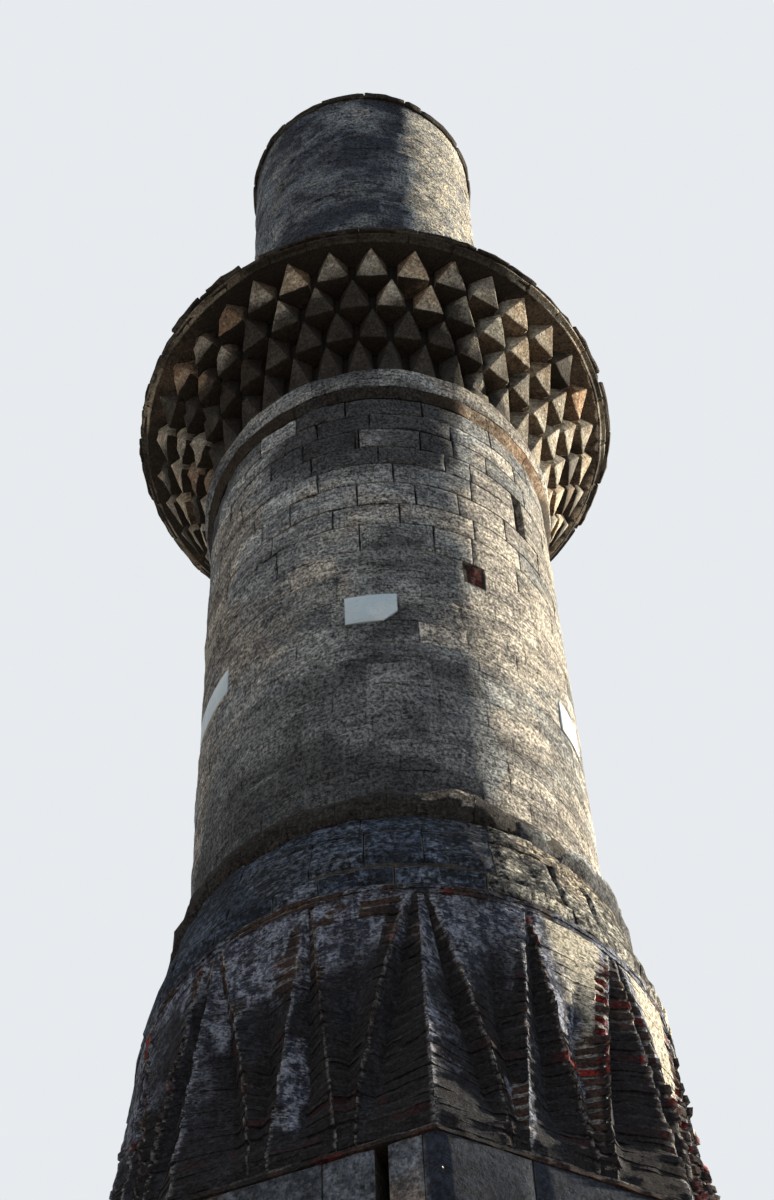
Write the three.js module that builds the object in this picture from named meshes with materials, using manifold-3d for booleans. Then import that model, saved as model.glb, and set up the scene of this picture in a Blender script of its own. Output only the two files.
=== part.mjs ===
// A free-standing masonry minaret: an octagonal base of ashlar, a folded brick transition, a round
// shaft, a balcony on four tiers of pointed corbels, and an upper shaft capped by a thin slab.
// Millimetres, +Z up. The origin is on the axis, on the underside of the plinth.
// Bearings are degrees from -Y towards +X, seen from above, so bearing 90 looks along +X.
import * as THREE from 'three';
import { mergeVertices } from 'three/addons/utils/BufferGeometryUtils.js';
import Module from 'manifold-3d';

const wasm = await Module();
wasm.setup();

// Driving dimensions
const bed = 0.3; // dry joint left between neighbouring pieces
const faceCount = 8;
const faceStep = 360 / faceCount;

const plinth = { apothem: 1630, height: 300 };
const base = { apothem: 1511, wall: 450, bottom: 300, top: 11145 };
const baseDoor = { width: 760, height: 1900 };
const baseSlit = { width: 60, height: 900, offset: 370 };
const brickString = { apothem: 1521, height: 45 };
const fold = {
  footRadius: 1060, tipRise: 100, headRadius: 1395, top: 13060,
  // Share of the rise, and how far back the valleys lie there: beside the corner ridge, in the
  // hanging panel, and at the middle of the face
  valleys: [[0, 2, 2, 2], [0.2, 75, 55, 90], [0.5, 90, 90, 70], [0.75, 60, 20, 45], [1, 2, 2, 2]],
};
const neckBricks = { radius: 1402, top: 13140 };
const neckFascia = { radius: 1390, top: 13280 };
const darkBand = { footRadius: 1382, headRadius: 1242, top: 13885 };
const lowerRoll = { top: 14120, bulge: 1256 };
const shaft = { footRadius: 1156, headRadius: 1102, bore: 780, top: 18505, segments: 5 };
const shaftSlit = { bearing: 71, width: 90, bottom: 17405, top: 17835 };
const upperRoll = { radius: 1154, neck: 1106, top: 18805 };
const corbels = {
  teeth: 34, toothShare: 0.8, recess: 60,
  // Radius at the foot, radius of the points and level of the points of each tier
  tiers: [[1130, 1215, 19110], [1230, 1322, 19345], [1336, 1430, 19570], [1446, 1552, 19785]],
};
const cornice = { height: 60, footRadius: 1590, headRadius: 1626 };
const slab = { radius: 1650, brokenRadius: 1626, height: 40, breakFrom: -67, breakTo: -37 };
const upper = { radius: 857, wall: 250, height: 3905, segments: 5 };
const upperDoor = { width: 620, height: 1700 };
const lid = { radius: 893, height: 85 };

const bore = shaft.bore;
const upperBore = upper.radius - upper.wall;
const roundSteps = 72;

// Colours of the masonry
const finishes = {
  ashlar: { color: 0x8d867b, roughness: 0.92, metalness: 0 },
  baseStone: { color: 0x7f8789, roughness: 0.85, metalness: 0 },
  brick: { color: 0x8a4a3c, roughness: 0.95, metalness: 0 },
  plasteredBrick: { color: 0x55504e, roughness: 0.95, metalness: 0 },
  darkStone: { color: 0x3e444c, roughness: 0.8, metalness: 0 },
  corbelStone: { color: 0x9a8a74, roughness: 0.9, metalness: 0 },
  rimStone: { color: 0x4b433b, roughness: 0.95, metalness: 0 },
};

const minaret = new THREE.Group();

function addPiece(name, finish, geometry) {
  const piece = new THREE.Mesh(geometry, new THREE.MeshStandardMaterial(finishes[finish]));
  piece.name = name;
  minaret.add(piece);
}

// Geometry helpers
const radians = THREE.MathUtils.degToRad;
const mix = THREE.MathUtils.lerp;

function at(bearing, radius) {
  return new THREE.Vector2(radius * Math.sin(radians(bearing)), -radius * Math.cos(radians(bearing)));
}

function arc(from, to, radius, steps) {
  return Array.from({ length: steps + 1 }, (_, i) => at(mix(from, to, i / steps), radius));
}

function ringPoints(radius, steps) {
  return arc(0, 360, radius, steps).slice(0, steps);
}

function octagon(apothem) {
  const corner = apothem / Math.cos(radians(faceStep / 2));
  return Array.from({ length: faceCount }, (_, i) => at((i + 0.5) * faceStep, corner));
}

function prism(outline, bottom, top, hole) {
  const shape = new THREE.Shape(outline);
  if (hole) shape.holes.push(new THREE.Path(hole));
  const body = new THREE.ExtrudeGeometry(shape, { depth: top - bottom, bevelEnabled: false });
  return body.translate(0, 0, bottom);
}

// A ring turned from a closed outline of [radius, height] points, listed upwards on its outer side
function turned(outline) {
  const closed = [...outline, outline[0]].map(([r, z]) => new THREE.Vector2(r, z));
  return new THREE.LatheGeometry(closed, roundSteps).rotateX(Math.PI / 2);
}

// Skin between outlines of equal length stacked upwards; each level is { z, points, hole }
function lofted(levels) {
  const positions = [];
  const corner = (level, point) => [point.x, point.y, level.z];
  const face = (...corners) => corners.forEach((c) => positions.push(...c));
  const skin = (key, outward) => {
    for (let k = 0; k + 1 < levels.length; k++) {
      const [low, high] = [levels[k], levels[k + 1]];
      const count = low[key].length;
      for (let i = 0; i < count; i++) {
        const j = (i + 1) % count;
        const [a, b] = [corner(low, low[key][i]), corner(low, low[key][j])];
        const [c, d] = [corner(high, high[key][j]), corner(high, high[key][i])];
        const halves = (low.flips ?? []).includes(i) ? [[a, b, d], [b, c, d]] : [[a, b, c], [a, c, d]];
        halves.forEach((t) => face(...(outward ? t : t.reverse())));
      }
    }
  };
  skin('points', true);
  if (levels[0].hole) skin('hole', false);
  const cap = (level, upward) => {
    const holes = level.hole ? [level.hole] : [];
    const all = [...level.points, ...holes.flat()];
    THREE.ShapeUtils.triangulateShape([...level.points], holes.map((h) => [...h])).forEach((t) => {
      const [p, q, r] = t.map((i) => all[i]);
      const counterClockwise = THREE.ShapeUtils.area([p, q, r]) > 0;
      const corners = [p, q, r].map((v) => corner(level, v));
      face(...(counterClockwise === upward ? corners : corners.reverse()));
    });
  };
  cap(levels[0], false);
  cap(levels[levels.length - 1], true);
  const body = new THREE.BufferGeometry();
  body.setAttribute('position', new THREE.Float32BufferAttribute(positions, 3));
  return body;
}

function toSolid(geometry) {
  const bare = geometry.clone();
  bare.deleteAttribute('normal');
  bare.deleteAttribute('uv');
  const merged = mergeVertices(bare, 1e-3);
  return new wasm.Manifold(new wasm.Mesh({
    numProp: 3,
    vertProperties: new Float32Array(merged.attributes.position.array),
    triVerts: new Uint32Array(merged.index.array),
  }));
}

function toGeometry(solid) {
  const { vertProperties, triVerts } = solid.getMesh();
  const geometry = new THREE.BufferGeometry();
  geometry.setAttribute('position', new THREE.Float32BufferAttribute(vertProperties, 3));
  geometry.setIndex(new THREE.Uint32BufferAttribute(triVerts, 1));
  return geometry;
}

// A block that runs outwards from the axis along a bearing, used to cut doors and slits
function radialBlock(bearing, offset, width, reach, bottom, top) {
  const block = new THREE.BoxGeometry(width, reach, top - bottom);
  block.translate(offset, -reach / 2, (bottom + top) / 2);
  return block.rotateZ(radians(bearing));
}

// Plinth and octagonal base
function buildPlinth() {
  addPiece('plinth', 'baseStone', prism(octagon(plinth.apothem), 0, plinth.height - bed));
}

function baseFacePart(face, fromOffset, toOffset, bottom, top) {
  const inner = base.apothem - base.wall;
  const slope = Math.tan(radians(faceStep / 2));
  const edge = (apothem, offset) => {
    const limit = apothem * slope - bed;
    return new THREE.Vector2(THREE.MathUtils.clamp(offset, -limit, limit), -apothem);
  };
  const outline = [edge(base.apothem, fromOffset), edge(base.apothem, toOffset),
    edge(inner, toOffset), edge(inner, fromOffset)];
  return prism(outline, bottom, top).rotateZ(radians(face * faceStep));
}

function buildBase() {
  const [bottom, top] = [base.bottom, base.top - bed];
  const doorFace = 4;
  for (let face = 0; face < faceCount; face++) {
    const name = `base_wall_${face + 1}`;
    if (face === 0) {
      const left = baseSlit.offset - baseSlit.width / 2;
      const right = baseSlit.offset + baseSlit.width / 2;
      const sill = base.top - baseSlit.height;
      addPiece(`${name}_slit_left`, 'baseStone', baseFacePart(face, -Infinity, left, bottom, top));
      addPiece(`${name}_slit_right`, 'baseStone', baseFacePart(face, right, Infinity, bottom, top));
      addPiece(`${name}_slit_below`, 'baseStone', baseFacePart(face, left + bed, right - bed, bottom, sill));
    } else if (face === doorFace) {
      const half = baseDoor.width / 2;
      const head = bottom + baseDoor.height;
      addPiece(`${name}_door_left`, 'baseStone', baseFacePart(face, -Infinity, -half, bottom, top));
      addPiece(`${name}_door_right`, 'baseStone', baseFacePart(face, half, Infinity, bottom, top));
      addPiece(`${name}_door_over`, 'baseStone', baseFacePart(face, -half + bed, half - bed, head, top));
    } else {
      addPiece(name, 'baseStone', baseFacePart(face, -Infinity, Infinity, bottom, top));
    }
  }
  const stringTop = base.top + brickString.height - bed;
  const inner = octagon(base.apothem - base.wall);
  addPiece('brick_string', 'brick', prism(octagon(brickString.apothem), base.top, stringTop, inner));
}

// Folded transition: eight pieces, each with a corner ridge and two hanging panels folded back in
// the middle. The profile of half a piece lists bearings from the corner and how far they are sunk.
function foldLevel(z, rise, [cornerSink, panelSink, faceSink]) {
  const half = faceStep / 2;
  const octagonRadius = (bearing) => base.apothem / Math.cos(radians(half - Math.abs(bearing)));
  const outer = (bearing, sink) => mix(octagonRadius(bearing), fold.headRadius, rise) - sink;
  const valley = mix(11, 1.2, rise);
  const innerArris = mix(13, 2, rise ** 1.5);
  const outerArris = mix(16.2, half - 0.5, rise);
  const gap = 0.012;
  const right = [[valley, cornerSink], [innerArris, 0], [(innerArris + outerArris) / 2, panelSink],
    [outerArris, 0], [half - gap, faceSink]];
  const left = right.map(([bearing, sink]) => [-bearing, sink]).reverse();
  const profile = [...left, [0, 0], ...right];
  const front = profile.map(([bearing, sink]) => at(bearing, outer(bearing, sink)));
  const back = arc(half - gap, -half + gap, mix(fold.footRadius, bore, rise), 4);
  return { z, points: [...front, ...back] };
}

function buildTransition() {
  const foot = base.top + brickString.height;
  const tips = foot + fold.tipRise;
  const top = fold.top - bed;
  const [, ...flush] = fold.valleys[0];
  const levels = [foldLevel(foot, 0, flush),
    ...fold.valleys.map(([rise, ...sinks]) => foldLevel(mix(tips, top, rise), rise, sinks))];
  for (let i = 0; i < faceCount; i++) {
    const body = lofted(levels).rotateZ(radians((i + 0.5) * faceStep));
    addPiece(`transition_${i + 1}`, 'plasteredBrick', body);
  }
}

// Rings between the transition and the shaft
function buildNeck() {
  const ring = (radius, bottom, top) => turned([[bore, bottom], [radius, bottom], [radius, top], [bore, top]]);
  addPiece('neck_bricks', 'brick', ring(neckBricks.radius, fold.top, neckBricks.top - bed));
  addPiece('neck_fascia', 'darkStone', ring(neckFascia.radius, neckBricks.top, neckFascia.top - bed));
  const bandTop = darkBand.top - bed;
  addPiece('dark_band', 'darkStone', turned([[bore, neckFascia.top], [darkBand.footRadius, neckFascia.top],
    [darkBand.headRadius, bandTop], [bore, bandTop]]));
  const foot = darkBand.top;
  const rise = lowerRoll.top - foot;
  const { bulge } = lowerRoll;
  const outline = [[bulge - 31, 0], [bulge - 10, 0.12], [bulge, 0.38], [bulge, 0.6], [bulge - 11, 0.83],
    [bulge - 38, 0.95], [shaft.footRadius + 15, 1]].map(([radius, share]) => [radius, foot + share * (rise - bed)]);
  addPiece('lower_roll', 'ashlar', turned([[bore, foot], ...outline, [bore, lowerRoll.top - bed]]));
}

// Round shaft in upright segments; the slit is left open between four pieces of its segment
function shaftRadius(z) {
  return mix(shaft.footRadius, shaft.headRadius, (z - lowerRoll.top) / (shaft.top - lowerRoll.top));
}

function wallSegment(from, to, bottom, top, outerAt, inner) {
  const gap = 0.012;
  const steps = Math.max(1, Math.round((to - from) / 6));
  const level = (z) => ({
    z,
    points: [...arc(from + gap, to - gap, outerAt(z), steps), ...arc(to - gap, from + gap, inner, steps)],
  });
  return lofted([level(bottom), level(top)]);
}

function buildShaft() {
  const width = 360 / shaft.segments;
  const [foot, top] = [lowerRoll.top, shaft.top - bed];
  for (let i = 0; i < shaft.segments; i++) {
    const centre = shaftSlit.bearing + i * width;
    const [from, to] = [centre - width / 2, centre + width / 2];
    const name = `shaft_wall_${i + 1}`;
    const part = (bottom, head) => wallSegment(from, to, bottom, head, shaftRadius, bore);
    if (i > 0) {
      addPiece(name, 'ashlar', part(foot, top));
      continue;
    }
    addPiece(`${name}_below_slit`, 'ashlar', part(foot, shaftSlit.bottom - bed));
    addPiece(`${name}_above_slit`, 'ashlar', part(shaftSlit.top + bed, top));
    const beside = toSolid(part(shaftSlit.bottom, shaftSlit.top));
    const reach = 2 * shaft.footRadius;
    const spare = 10;
    [['left', -1], ['right', 1]].forEach(([side, sign]) => {
      const offset = sign * (shaftSlit.width / 2 + reach / 2);
      const block = radialBlock(shaftSlit.bearing, offset, reach, reach,
        shaftSlit.bottom - spare, shaftSlit.top + spare);
      addPiece(`${name}_slit_${side}`, 'ashlar', toGeometry(beside.intersect(toSolid(block))));
    });
  }
}

// Balcony: an undercut roll, four tiers of pointed corbels, a fillet and a broken-edged slab
function buildUpperRoll() {
  const foot = shaft.top;
  const top = upperRoll.top - bed;
  const { radius, neck } = upperRoll;
  addPiece('upper_roll', 'ashlar', turned([[bore, foot], [shaft.headRadius, foot], [neck, foot + 10],
    [radius - 24, foot + 58], [radius - 8, foot + 88], [radius, foot + 150], [radius, foot + 230],
    [radius - 8, top], [bore, top]]));
}

// One tier: at the foot every tooth is a short chord, at the head it has come to a point, and the
// wall is recessed between the teeth
function corbelTier([low, high, top], z, phase) {
  const pitch = 360 / corbels.teeth;
  const half = (pitch * corbels.toothShare) / 2;
  const foot = [];
  const head = [];
  for (let i = 0; i < corbels.teeth; i++) {
    const centre = (phase + i) * pitch;
    const [left, right] = [at(centre - half, low), at(centre + half, low)];
    const hollow = at(centre + pitch / 2, low - corbels.recess);
    foot.push(left, at(centre, low * Math.cos(radians(half)) + 1), right, hollow);
    head.push(left, at(centre, high), right, hollow);
  }
  const flips = foot.map((_, i) => i).filter((i) => i % 4 === 1);
  const hole = ringPoints(bore, 36);
  return lofted([{ z, points: foot, hole, flips }, { z: top - bed, points: head, hole }]);
}

function buildBalcony() {
  buildUpperRoll();
  let foot = upperRoll.top;
  corbels.tiers.forEach((tier, index) => {
    addPiece(`corbel_tier_${index + 1}`, 'corbelStone', corbelTier(tier, foot, index % 2 ? 0.89 : 0.39));
    foot = tier[2];
  });
  const head = foot + cornice.height;
  addPiece('cornice', 'corbelStone', turned([[upperBore, foot], [cornice.footRadius, foot],
    [cornice.footRadius + 6, foot + cornice.height * 0.45], [cornice.headRadius, foot + cornice.height * 0.55],
    [cornice.headRadius, head - bed], [upperBore, head - bed]]));
  const rim = [...arc(slab.breakFrom, slab.breakTo, slab.brokenRadius, 8),
    ...arc(slab.breakTo, slab.breakFrom + 360, slab.radius, 60)];
  const top = head + slab.height;
  addPiece('balcony_slab', 'rimStone', prism(rim, head, top - bed, ringPoints(upperBore, 36)));
  return top;
}

// Upper shaft with its door, and the slab that caps it
function buildUpper(foot) {
  const top = foot + upper.height;
  const doorBearing = 180;
  const half = upperDoor.width / 2;
  const spare = 10;
  const reach = upper.radius + spare;
  const cut = toSolid(radialBlock(doorBearing, 0, upperDoor.width, reach, foot - spare, top + spare));
  const radiusAt = () => upper.radius;
  const span = 360 / upper.segments;
  for (let i = 0; i < upper.segments; i++) {
    const from = doorBearing + i * span;
    const whole = wallSegment(from, from + span, foot, top - bed, radiusAt, upperBore);
    const touchesDoor = i === 0 || i === upper.segments - 1;
    addPiece(`upper_wall_${i + 1}`, 'ashlar', touchesDoor ? toGeometry(toSolid(whole).subtract(cut)) : whole);
  }
  const lintel = toSolid(wallSegment(doorBearing - span / 2, doorBearing + span / 2,
    foot + upperDoor.height, top - bed, radiusAt, upperBore));
  const slot = toSolid(radialBlock(doorBearing, 0, 2 * (half - bed), reach, foot, top));
  addPiece('upper_door_head', 'ashlar', toGeometry(lintel.intersect(slot)));
  addPiece('lid', 'rimStone', prism(ringPoints(lid.radius, roundSteps), top, top + lid.height));
}

buildPlinth();
buildBase();
buildTransition();
buildNeck();
buildShaft();
const balconyTop = buildBalcony();
buildUpper(balconyTop);

export default minaret;
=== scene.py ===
import math
import random

import bmesh
import bpy
from mathutils import Matrix, Vector, noise


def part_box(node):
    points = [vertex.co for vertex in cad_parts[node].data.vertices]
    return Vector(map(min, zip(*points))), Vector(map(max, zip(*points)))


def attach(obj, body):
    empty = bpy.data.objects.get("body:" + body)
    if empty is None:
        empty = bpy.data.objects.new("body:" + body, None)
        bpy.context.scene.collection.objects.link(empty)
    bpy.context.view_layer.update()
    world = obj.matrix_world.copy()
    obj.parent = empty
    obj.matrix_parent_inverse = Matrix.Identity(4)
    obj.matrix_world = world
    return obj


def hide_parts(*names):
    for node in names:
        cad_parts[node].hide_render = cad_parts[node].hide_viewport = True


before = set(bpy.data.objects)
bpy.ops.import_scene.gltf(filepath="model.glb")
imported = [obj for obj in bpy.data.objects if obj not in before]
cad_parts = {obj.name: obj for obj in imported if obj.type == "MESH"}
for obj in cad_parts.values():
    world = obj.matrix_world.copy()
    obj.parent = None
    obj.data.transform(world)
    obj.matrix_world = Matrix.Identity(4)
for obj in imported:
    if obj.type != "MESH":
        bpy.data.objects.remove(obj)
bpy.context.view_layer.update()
scene = bpy.context.scene


def polar(bearing, radius, z):  # bearings are degrees from -Y towards +X
    turn = math.radians(bearing)
    return Vector((radius * math.sin(turn), -radius * math.cos(turn), z))


def placed(name, data):
    made = bpy.data.objects.new(name, data)
    scene.collection.objects.link(made)
    return made


# The camera stands near the foot of the tower and looks steeply up, as the photographer did
photoCamera = {
    "focalPixels": 3000, "longSide": 1200, "sensor": 36, "farEnd": 500,
    "distance": 10.60, "eyeHeight": 1.6, "bearing": 18.2,
    "pitch": 56.81, "yaw": 0.18, "roll": -2.98,
}


def makeCamera(spec):
    pitch, yaw, roll = (math.radians(spec[key]) for key in ("pitch", "yaw", "roll"))
    ahead = Vector((math.sin(yaw) * math.cos(pitch), math.cos(yaw) * math.cos(pitch), math.sin(pitch)))
    right = Vector((math.cos(yaw), -math.sin(yaw), 0))
    up = right.cross(ahead)
    side = right * math.cos(roll) + up * math.sin(roll)
    top = up * math.cos(roll) - right * math.sin(roll)
    pose = Matrix((side, top, -ahead)).transposed().to_4x4()
    turn = Matrix.Rotation(math.radians(spec["bearing"]), 4, "Z")
    stand = Matrix.Translation(polar(spec["bearing"], spec["distance"], spec["eyeHeight"]))
    data = bpy.data.cameras.new("photoCamera")
    data.sensor_width = spec["sensor"]
    data.lens = spec["focalPixels"] / spec["longSide"] * spec["sensor"]
    data.clip_end = spec["farEnd"]
    scene.camera = placed("photoCamera", data)
    scene.camera.matrix_world = stand @ turn @ pose


makeCamera(photoCamera)
print("camera placed")


# Shader maths: a socket that can be added, multiplied and mixed like a number
class Value:
    def __init__(self, home, socket):
        self.home = home
        self.socket = socket

    def math(self, operation, first, second):
        return self.home.node("ShaderNodeMath", {"operation": operation}, {0: first, 1: second})

    def __add__(self, other):
        return self.math("ADD", self, other)

    def __radd__(self, other):
        return self.math("ADD", other, self)

    def __sub__(self, other):
        return self.math("SUBTRACT", self, other)

    def __rsub__(self, other):
        return self.math("SUBTRACT", other, self)

    def __mul__(self, other):
        return self.math("MULTIPLY", self, other)

    def __rmul__(self, other):
        return self.math("MULTIPLY", other, self)

    def least(self, other):
        return self.math("MINIMUM", self, other)

    def most(self, other):
        return self.math("MAXIMUM", self, other)

    def away(self, other):
        return self.math("ABSOLUTE", self - other, 0)

    def ramp(self, low, high):  # 0 below low, 1 above high, smooth between
        inputs = {"Value": self, "From Min": low, "From Max": high}
        return self.home.node("ShaderNodeMapRange", {"interpolation_type": "SMOOTHSTEP"}, inputs)


class Nodes:
    def __init__(self, tree):
        self.tree = tree

    def node(self, kind, settings=None, inputs=None, output=0):
        made = self.tree.nodes.new(kind)
        for key, setting in (settings or {}).items():
            setattr(made, key, setting)
        for key, value in (inputs or {}).items():
            self.plug(made.inputs[key], value)
        return Value(self, made.outputs[output])

    def plug(self, socket, value):
        if isinstance(value, Value):
            self.tree.links.new(value.socket, socket)
        else:
            socket.default_value = value

    def mixed(self, share, first, second, how="MIX"):
        settings = {"data_type": "RGBA", "blend_type": how}
        return self.node("ShaderNodeMix", settings, {0: share, 6: first, 7: second}, 2)

    def multiplied(self, colour, by):
        return self.mixed(1.0, colour, by, "MULTIPLY")


class Finish(Nodes):
    def __init__(self, name, roughness=0.92):
        self.material = bpy.data.materials.new(name)
        self.material.use_nodes = True
        super().__init__(self.material.node_tree)
        self.shader = self.tree.nodes["Principled BSDF"].inputs
        self.plug(self.shader["Roughness"], roughness)
        self.plug(self.shader["Specular IOR Level"], 0.25)
        self.place = self.node("ShaderNodeTexCoord", output="Object")

    def stretched(self, upwards):
        return self.node("ShaderNodeVectorMath", {"operation": "MULTIPLY"}, {0: self.place, 1: (1, 1, upwards)})

    def cloud(self, place, scale, detail, rough, warp=0.0):
        inputs = {"Vector": place, "Scale": scale, "Detail": detail, "Roughness": rough, "Distortion": warp}
        return self.node("ShaderNodeTexNoise", None, inputs)

    def cells(self, place, scale):
        return self.node("ShaderNodeTexVoronoi", None, {"Vector": place, "Scale": scale})

    def read(self, *names):
        return [self.node("ShaderNodeAttribute", {"attribute_name": name}, None, "Fac") for name in names]

    def dressed(self, colour, height, relief):
        bump = self.node("ShaderNodeBump", None, {"Height": height, "Distance": relief, "Strength": 1.0})
        self.plug(self.shader["Base Color"], colour)
        self.plug(self.shader["Normal"], bump)
        return self.material


def tint(red, green, blue):  # screen colour, 0 to 255, to a linear colour
    return tuple((part / 255) ** 2.2 for part in (red, green, blue)) + (1.0,)


# Weathered stone: mottled, pitted along its beds, darker at the joints and under black crust. The crust follows
# the soot value, so it is partly painted shade, and the same value tints the stone warm on the sunlit side and
# cool in the shade, which is painted light
def stoneFinish(name, look):
    made = Finish(name)
    colours = ("dark", "mid", "light", "crustColour", "deep", "limeColour")
    dark, mid, light, crustColour, deep, limeColour = (tint(*look[key]) for key in colours)
    strata, pitScale = look["strata"], look["pitScale"]
    broad = made.cloud(made.place, 0.75, 4, 0.6)
    patch = made.cloud(made.stretched(strata), look["patchScale"], 6, 0.68, 0.3)
    grain = made.cloud(made.stretched(1 + strata * 0.2), 26, 6, 0.75)
    streak = made.cloud(made.stretched(strata * 2), 8, 5, 0.7)
    even = made.stretched(0.7)
    fleck = made.cloud(even, look["fleckScale"], 3, 0.75)
    speck = made.cloud(even, 95, 3, 0.75)
    split = made.cloud(made.stretched(3.5), 5.2, 4, 0.62)
    hue = made.cloud(made.place, 1.7, 4, 0.6, 0.4)
    lost = made.cloud(made.place, 4.2, 4, 0.65)
    cracks = (1 - split.away(0.5).ramp(0.002, 0.014)) * hue.ramp(0.55, 0.62) * look["cracks"]
    holes = made.cells(made.stretched(strata * 1.3), pitScale)
    small = made.cells(made.stretched(1.6), pitScale * 2.7)
    pitZone = made.cloud(made.place, 5.5, 3, 0.6).ramp(0.42, 0.6)
    pits = (1 - holes.ramp(0.12, 0.34)) * pitZone * look["pits"]
    pits = pits.most((1 - small.ramp(0.1, 0.3)) * grain.ramp(0.45, 0.62) * look["pits"])
    tone, edge, soot = made.read("tone", "edge", "soot")
    colour = made.mixed(patch.ramp(0.36, 0.62), dark, mid)
    colour = made.mixed((grain * 0.6 + patch * 0.3 + broad * 0.2).ramp(0.5, 0.66), colour, light)
    colour = made.multiplied(colour, tone * 0.9 + 0.52)
    # painted light: stone with a low soot value (the side the key light reaches) is tinted warm, stone with a
    # high one (the shaded side) cool, on top of the random hue
    shade = made.mixed((hue * 0.75 + tone * 0.25 - soot * 0.4).ramp(0.44, 0.62), look["cool"], look["warm"])
    colour = made.multiplied(colour, shade)
    # crust where the soot value is high: partly real black crust, partly painted shade
    crust = (patch * 0.55 + broad * 0.4 + soot * 0.42 - tone * 0.16 + grain * 0.28).ramp(0.6, 0.74)
    colour = made.mixed(crust * look["crust"], colour, crustColour)
    mottle = fleck.ramp(0.36, 0.64) * look["mottle"] + speck.ramp(0.3, 0.7) * 0.5
    mottle = mottle + (streak - 0.5) * look["streaks"] + (0.8 - look["mottle"] * 0.5)
    colour = made.multiplied(colour, mottle)
    joint = edge.ramp(0.35, 1.0)
    colour = made.mixed(joint * lost.ramp(0.54, 0.44) * look["lime"], colour, limeColour)
    marks = pits + cracks + joint * lost.ramp(0.46, 0.6) * look["joint"]
    colour = made.mixed(marks.least(1.0) * 0.8, colour, deep)
    height = grain * 0.5 + patch * 0.3 + fleck * 0.3 + speck * 0.1 - (pits + cracks) * 0.6
    return made.dressed(colour, height, look["relief"])


looks, finishes = {}, {}


def addStone(name, like="ashlarStone", **changes):  # a finish, told by how it differs from another
    looks[name] = {**looks.get(like, {}), **changes}
    finishes[name] = stoneFinish(name, looks[name])


addStone(
    "ashlarStone", strata=2.6, patchScale=3.1, streaks=2.0, pitScale=19, pits=0.9, relief=0.045, crust=0.85,
    joint=0.8, lime=0.25, fleckScale=56, mottle=1.4, cracks=0.8, dark=(114, 114, 115), mid=(158, 157, 155),
    light=(208, 205, 196), crustColour=(58, 59, 63), deep=(40, 37, 36), limeColour=(176, 174, 168),
    cool=(0.93, 1.0, 1.07, 1), warm=(1.05, 1.0, 0.94, 1))
addStone(
    "rollStone", strata=1.6, streaks=1.0, crust=0.92, joint=0.2, lime=0,
    dark=(86, 80, 74), mid=(124, 117, 108), light=(190, 186, 176), crustColour=(44, 40, 38))
addStone(
    "upperStone", strata=1.4, patchScale=5.5, streaks=2.2, crust=0.95, joint=0, lime=0,
    dark=(102, 108, 118), mid=(136, 141, 148), light=(190, 186, 170), crustColour=(50, 56, 69))
addStone(
    "baseStone", strata=1.2, patchScale=4.5, streaks=1.6, pitScale=24, pits=0.4, relief=0.012, crust=0.88,
    joint=0.35, lime=0.1, fleckScale=40, mottle=1.0, cracks=0.3, dark=(68, 70, 74), mid=(94, 96, 101),
    light=(128, 128, 130), crustColour=(36, 42, 54), cool=(0.9, 1.0, 1.12, 1), warm=(1.24, 1.0, 0.8, 1))
addStone(
    "darkStone", strata=3.5, streaks=3.0, pitScale=30, pits=0.6, crust=0.7, joint=0.6, lime=0.6, fleckScale=34,
    mottle=1.7, dark=(34, 39, 49), mid=(46, 54, 68), light=(112, 122, 138),
    crustColour=(28, 31, 38), deep=(22, 20, 22), limeColour=(120, 124, 128))
addStone(
    "pockedStone", strata=2.0, streaks=2.4, pitScale=24, pits=1.0, crust=0.95, fleckScale=34, mottle=2.2,
    dark=(64, 64, 68), mid=(124, 120, 112), light=(236, 226, 206), crustColour=(46, 46, 50))
addStone(
    "corbelStone", strata=1.0, streaks=0.8, pitScale=34, pits=0.7, relief=0.014, crust=0.92, joint=0, lime=0,
    fleckScale=60, mottle=0.8, cracks=0.5, dark=(124, 112, 98), mid=(166, 154, 136), light=(208, 200, 182),
    crustColour=(36, 32, 29), deep=(40, 32, 26))
addStone(
    "shadedSoffitStone", "corbelStone", dark=(88, 74, 62), mid=(112, 94, 78), light=(146, 128, 108),
    crustColour=(30, 27, 25))
addStone("stainedStone", "corbelStone", dark=(110, 86, 67), mid=(140, 112, 88), light=(190, 174, 152))
addStone(
    "clayBrick", "corbelStone", crust=0.8, mottle=1.6, dark=(60, 30, 28), mid=(92, 40, 35), light=(128, 64, 54))
addStone(
    "rimStone", strata=3.0, pitScale=30, pits=0.7, relief=0.02, crust=0.9, joint=0.6, lime=0.2, fleckScale=60,
    mottle=1.0, dark=(78, 70, 62), mid=(104, 94, 82), light=(150, 138, 120),
    crustColour=(48, 43, 40), deep=(30, 26, 25))
addStone(
    "mortarBed", strata=1.3, pitScale=40, pits=0.6, relief=0.02, crust=0.8, joint=0, lime=0, fleckScale=60,
    mottle=0.9, cracks=0.4, dark=(70, 63, 56), mid=(92, 84, 74), light=(126, 118, 106),
    crustColour=(42, 38, 35), deep=(34, 30, 28))

brickLook = {
    "clayDark": tint(74, 58, 52), "clayLight": tint(142, 52, 44), "limeDark": tint(84, 81, 80),
    "limeLight": tint(160, 160, 162), "skinDark": tint(58, 62, 76), "skinLight": tint(140, 147, 164),
    "cleanAndSunlit": tint(204, 197, 178), "crust": 0.92, "crustColour": tint(36, 36, 40), "deep": tint(24, 22, 22),
    "relief": 0.035,
}


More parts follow.
